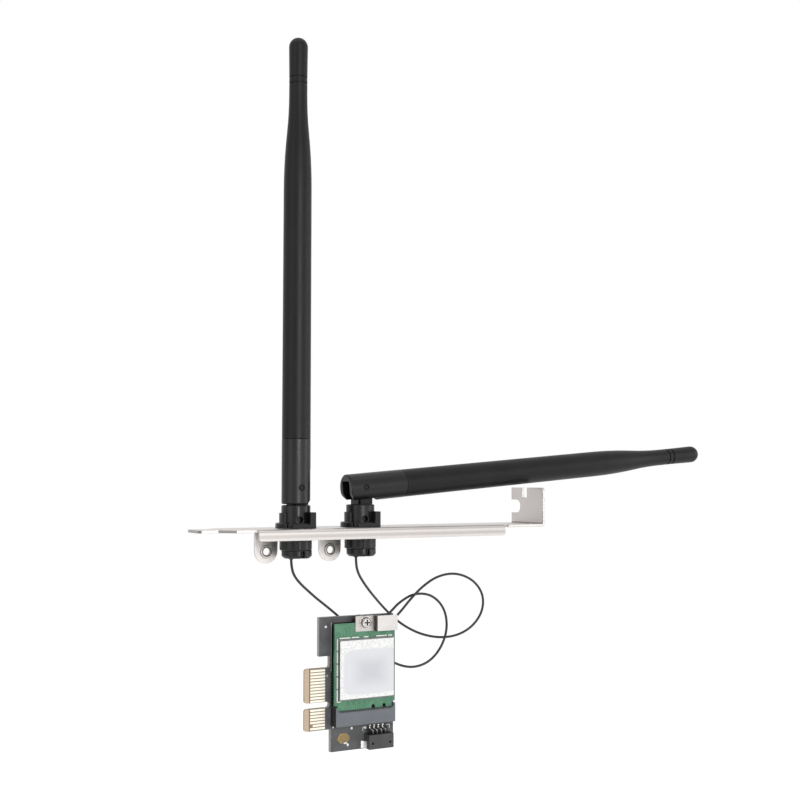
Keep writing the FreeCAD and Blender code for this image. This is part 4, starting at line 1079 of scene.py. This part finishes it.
# the two coaxial leads: each leaves its cap, passes behind the board and loops back to its plug
leadSettings = {
    "diameter": 0.00081,
    "length": 0.1265,
    "stepsAlong": 10,
    "stepsAround": 5,
    "left": [
        (-12.6, 0.0, -9.2), (-12.4, 0.2, -11.95), (-10.9, 1.5, -14.75), (-7.7, 3.9, -17.45),
        (-3.2, 7.7, -20.25), (1.8, 11.9, -23.25), (7.0, 16.0, -26.15), (12.2, 18.7, -29.55),
        (17.8, 19.2, -34.35), (23.3, 19.0, -39.35), (28.6, 18.3, -43.65), (33.8, 17.1, -47.05),
        (39.3, 15.9, -48.35), (44.9, 14.9, -46.75), (49.2, 14.1, -42.25), (51.4, 13.4, -35.75),
        (49.9, 12.8, -28.65), (44.3, 12.0, -23.75), (37.0, 11.2, -22.95), (31.0, 10.4, -25.55),
        (27.6, 9.95, -28.33), (25.08, 9.95, -30.61)],
    "right": [
        (9.6, 0.0, -9.2), (9.75, 0.2, -11.95), (11.2, 1.6, -14.75), (14.4, 4.6, -17.65),
        (18.8, 8.8, -20.95), (23.8, 13.4, -24.35), (28.6, 17.1, -27.75), (33.4, 18.5, -31.75),
        (38.3, 18.3, -35.15), (43.8, 17.5, -37.75), (50.4, 16.6, -39.15), (57.0, 15.6, -38.55),
        (62.5, 14.6, -35.55), (65.8, 13.6, -30.45), (65.3, 12.6, -24.55), (60.6, 11.6, -19.45),
        (53.2, 10.8, -16.75), (45.6, 10.2, -17.45), (39.2, 9.8, -20.85), (34.4, 9.8, -25.15),
        (31.25, 9.95, -28.58), (28.70, 9.95, -30.83)],
}


def addLead(side, s):
    route = np.array(s[side]) * mm
    data = bpy.data.curves.new(f"{side}_coax", "CURVE")
    data.dimensions = "3D"
    data.resolution_u = s["stepsAlong"]
    data.bevel_depth = s["diameter"] / 2
    data.bevel_resolution = s["stepsAround"]
    data.use_fill_caps = True
    spline = data.splines.new("NURBS")
    spline.points.add(len(route) - 1)
    spline.points.foreach_set("co", np.hstack([route, np.ones((len(route), 1))]).ravel())
    spline.order_u = 3
    spline.use_endpoint_u = True
    lead = bpy.data.objects.new(f"{side}_coax", data)
    scene.collection.objects.link(lead)
    paint(lead, "jacket")
    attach(lead, "base")
    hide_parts(f"{side}_lead")


for side in bothSides:
    addLead(side, leadSettings)
print("leads laid")

# stage: white all round, a pale floor well below the hanging card, and soft lamps,
# each with its name, place, width, height and watts
stageSettings = {
    "floor": -0.26,
    "reach": 4.0,
    "worldLight": 0.38,
    "floorGlow": 0.68,
    "floorColour": (0.86, 0.86, 0.86, 1),
    "floorRough": 0.9,
    "lamps": [
        ("frontLamp", (0.30, -0.58, 0.05), 0.45, 0.30, 0.35),
        ("keyLamp", (-0.045, -0.80, 0.14), 0.12, 0.40, 3.3),
        ("edgeLamp", (0.78, -0.40, 0.10), 0.26, 0.50, 1.5),
        ("topLamp", (-0.10, -0.15, 0.75), 0.80, 0.60, 1.5),
        ("sideLamp", (-0.70, -0.25, 0.15), 0.40, 0.70, 1.1),
    ],
    "aim": (0.0, 0.0, 0.03),
}


def seenAs(tree, *kinds):
    # 1 where the ray is of any of these kinds
    path = tree.nodes.new("ShaderNodeLightPath").outputs
    seen = 0.0
    for kind in kinds:
        seen = mathNode(tree, "MAXIMUM", path[f"Is {kind} Ray"], seen)
    return seen


def addWorld(s):
    world = bpy.data.worlds.new("studio")
    scene.world = world
    world.use_nodes = True
    tree = world.node_tree
    tree.nodes.clear()
    seen = seenAs(tree, "Camera", "Glossy", "Transmission")
    back = tree.nodes.new("ShaderNodeBackground")
    back.inputs["Color"].default_value = (1, 1, 1, 1)
    strength = mathNode(tree, "MULTIPLY_ADD", seen, 1.0 - s["worldLight"], s["worldLight"])
    feed(tree, strength, back.inputs["Strength"])
    feed(tree, back.outputs[0], tree.nodes.new("ShaderNodeOutputWorld").inputs[0])


def addFloor(s):
    reach, low = s["reach"], s["floor"]
    corners = [(-reach, -reach, low), (reach, -reach, low), (reach, reach, low), (-reach, reach, low)]
    mesh = bpy.data.meshes.new("floor")
    mesh.from_pydata(corners, [], [(0, 1, 2, 3)])
    floor = bpy.data.objects.new("floor", mesh)
    scene.collection.objects.link(floor)
    material, tree, shader = startMaterial("paleFloor")[:3]
    shader.inputs["Base Color"].default_value = s["floorColour"]
    shader.inputs["Roughness"].default_value = s["floorRough"]
    shader.inputs["Specular IOR Level"].default_value = 0.0
    shader.inputs["Emission Color"].default_value = (1, 1, 1, 1)
    seen = seenAs(tree, "Camera", "Glossy")
    feed(tree, mathNode(tree, "MULTIPLY", seen, s["floorGlow"]), shader.inputs["Emission Strength"])
    mesh.materials.append(material)


def addLamps(s):
    for name, place, wide, tall, power in s["lamps"]:
        data = bpy.data.lights.new(name, "AREA")
        data.shape = "RECTANGLE"
        data.size, data.size_y = wide, tall
        data.energy = power
        lamp = bpy.data.objects.new(name, data)
        lamp.location = place
        x, y, z = np.array(place) - np.array(s["aim"])
        lamp.rotation_euler = (math.atan2(math.hypot(x, y), z), 0.0, math.atan2(x, -y))
        scene.collection.objects.link(lamp)


addWorld(stageSettings)
addFloor(stageSettings)
addLamps(stageSettings)
print("stage set")
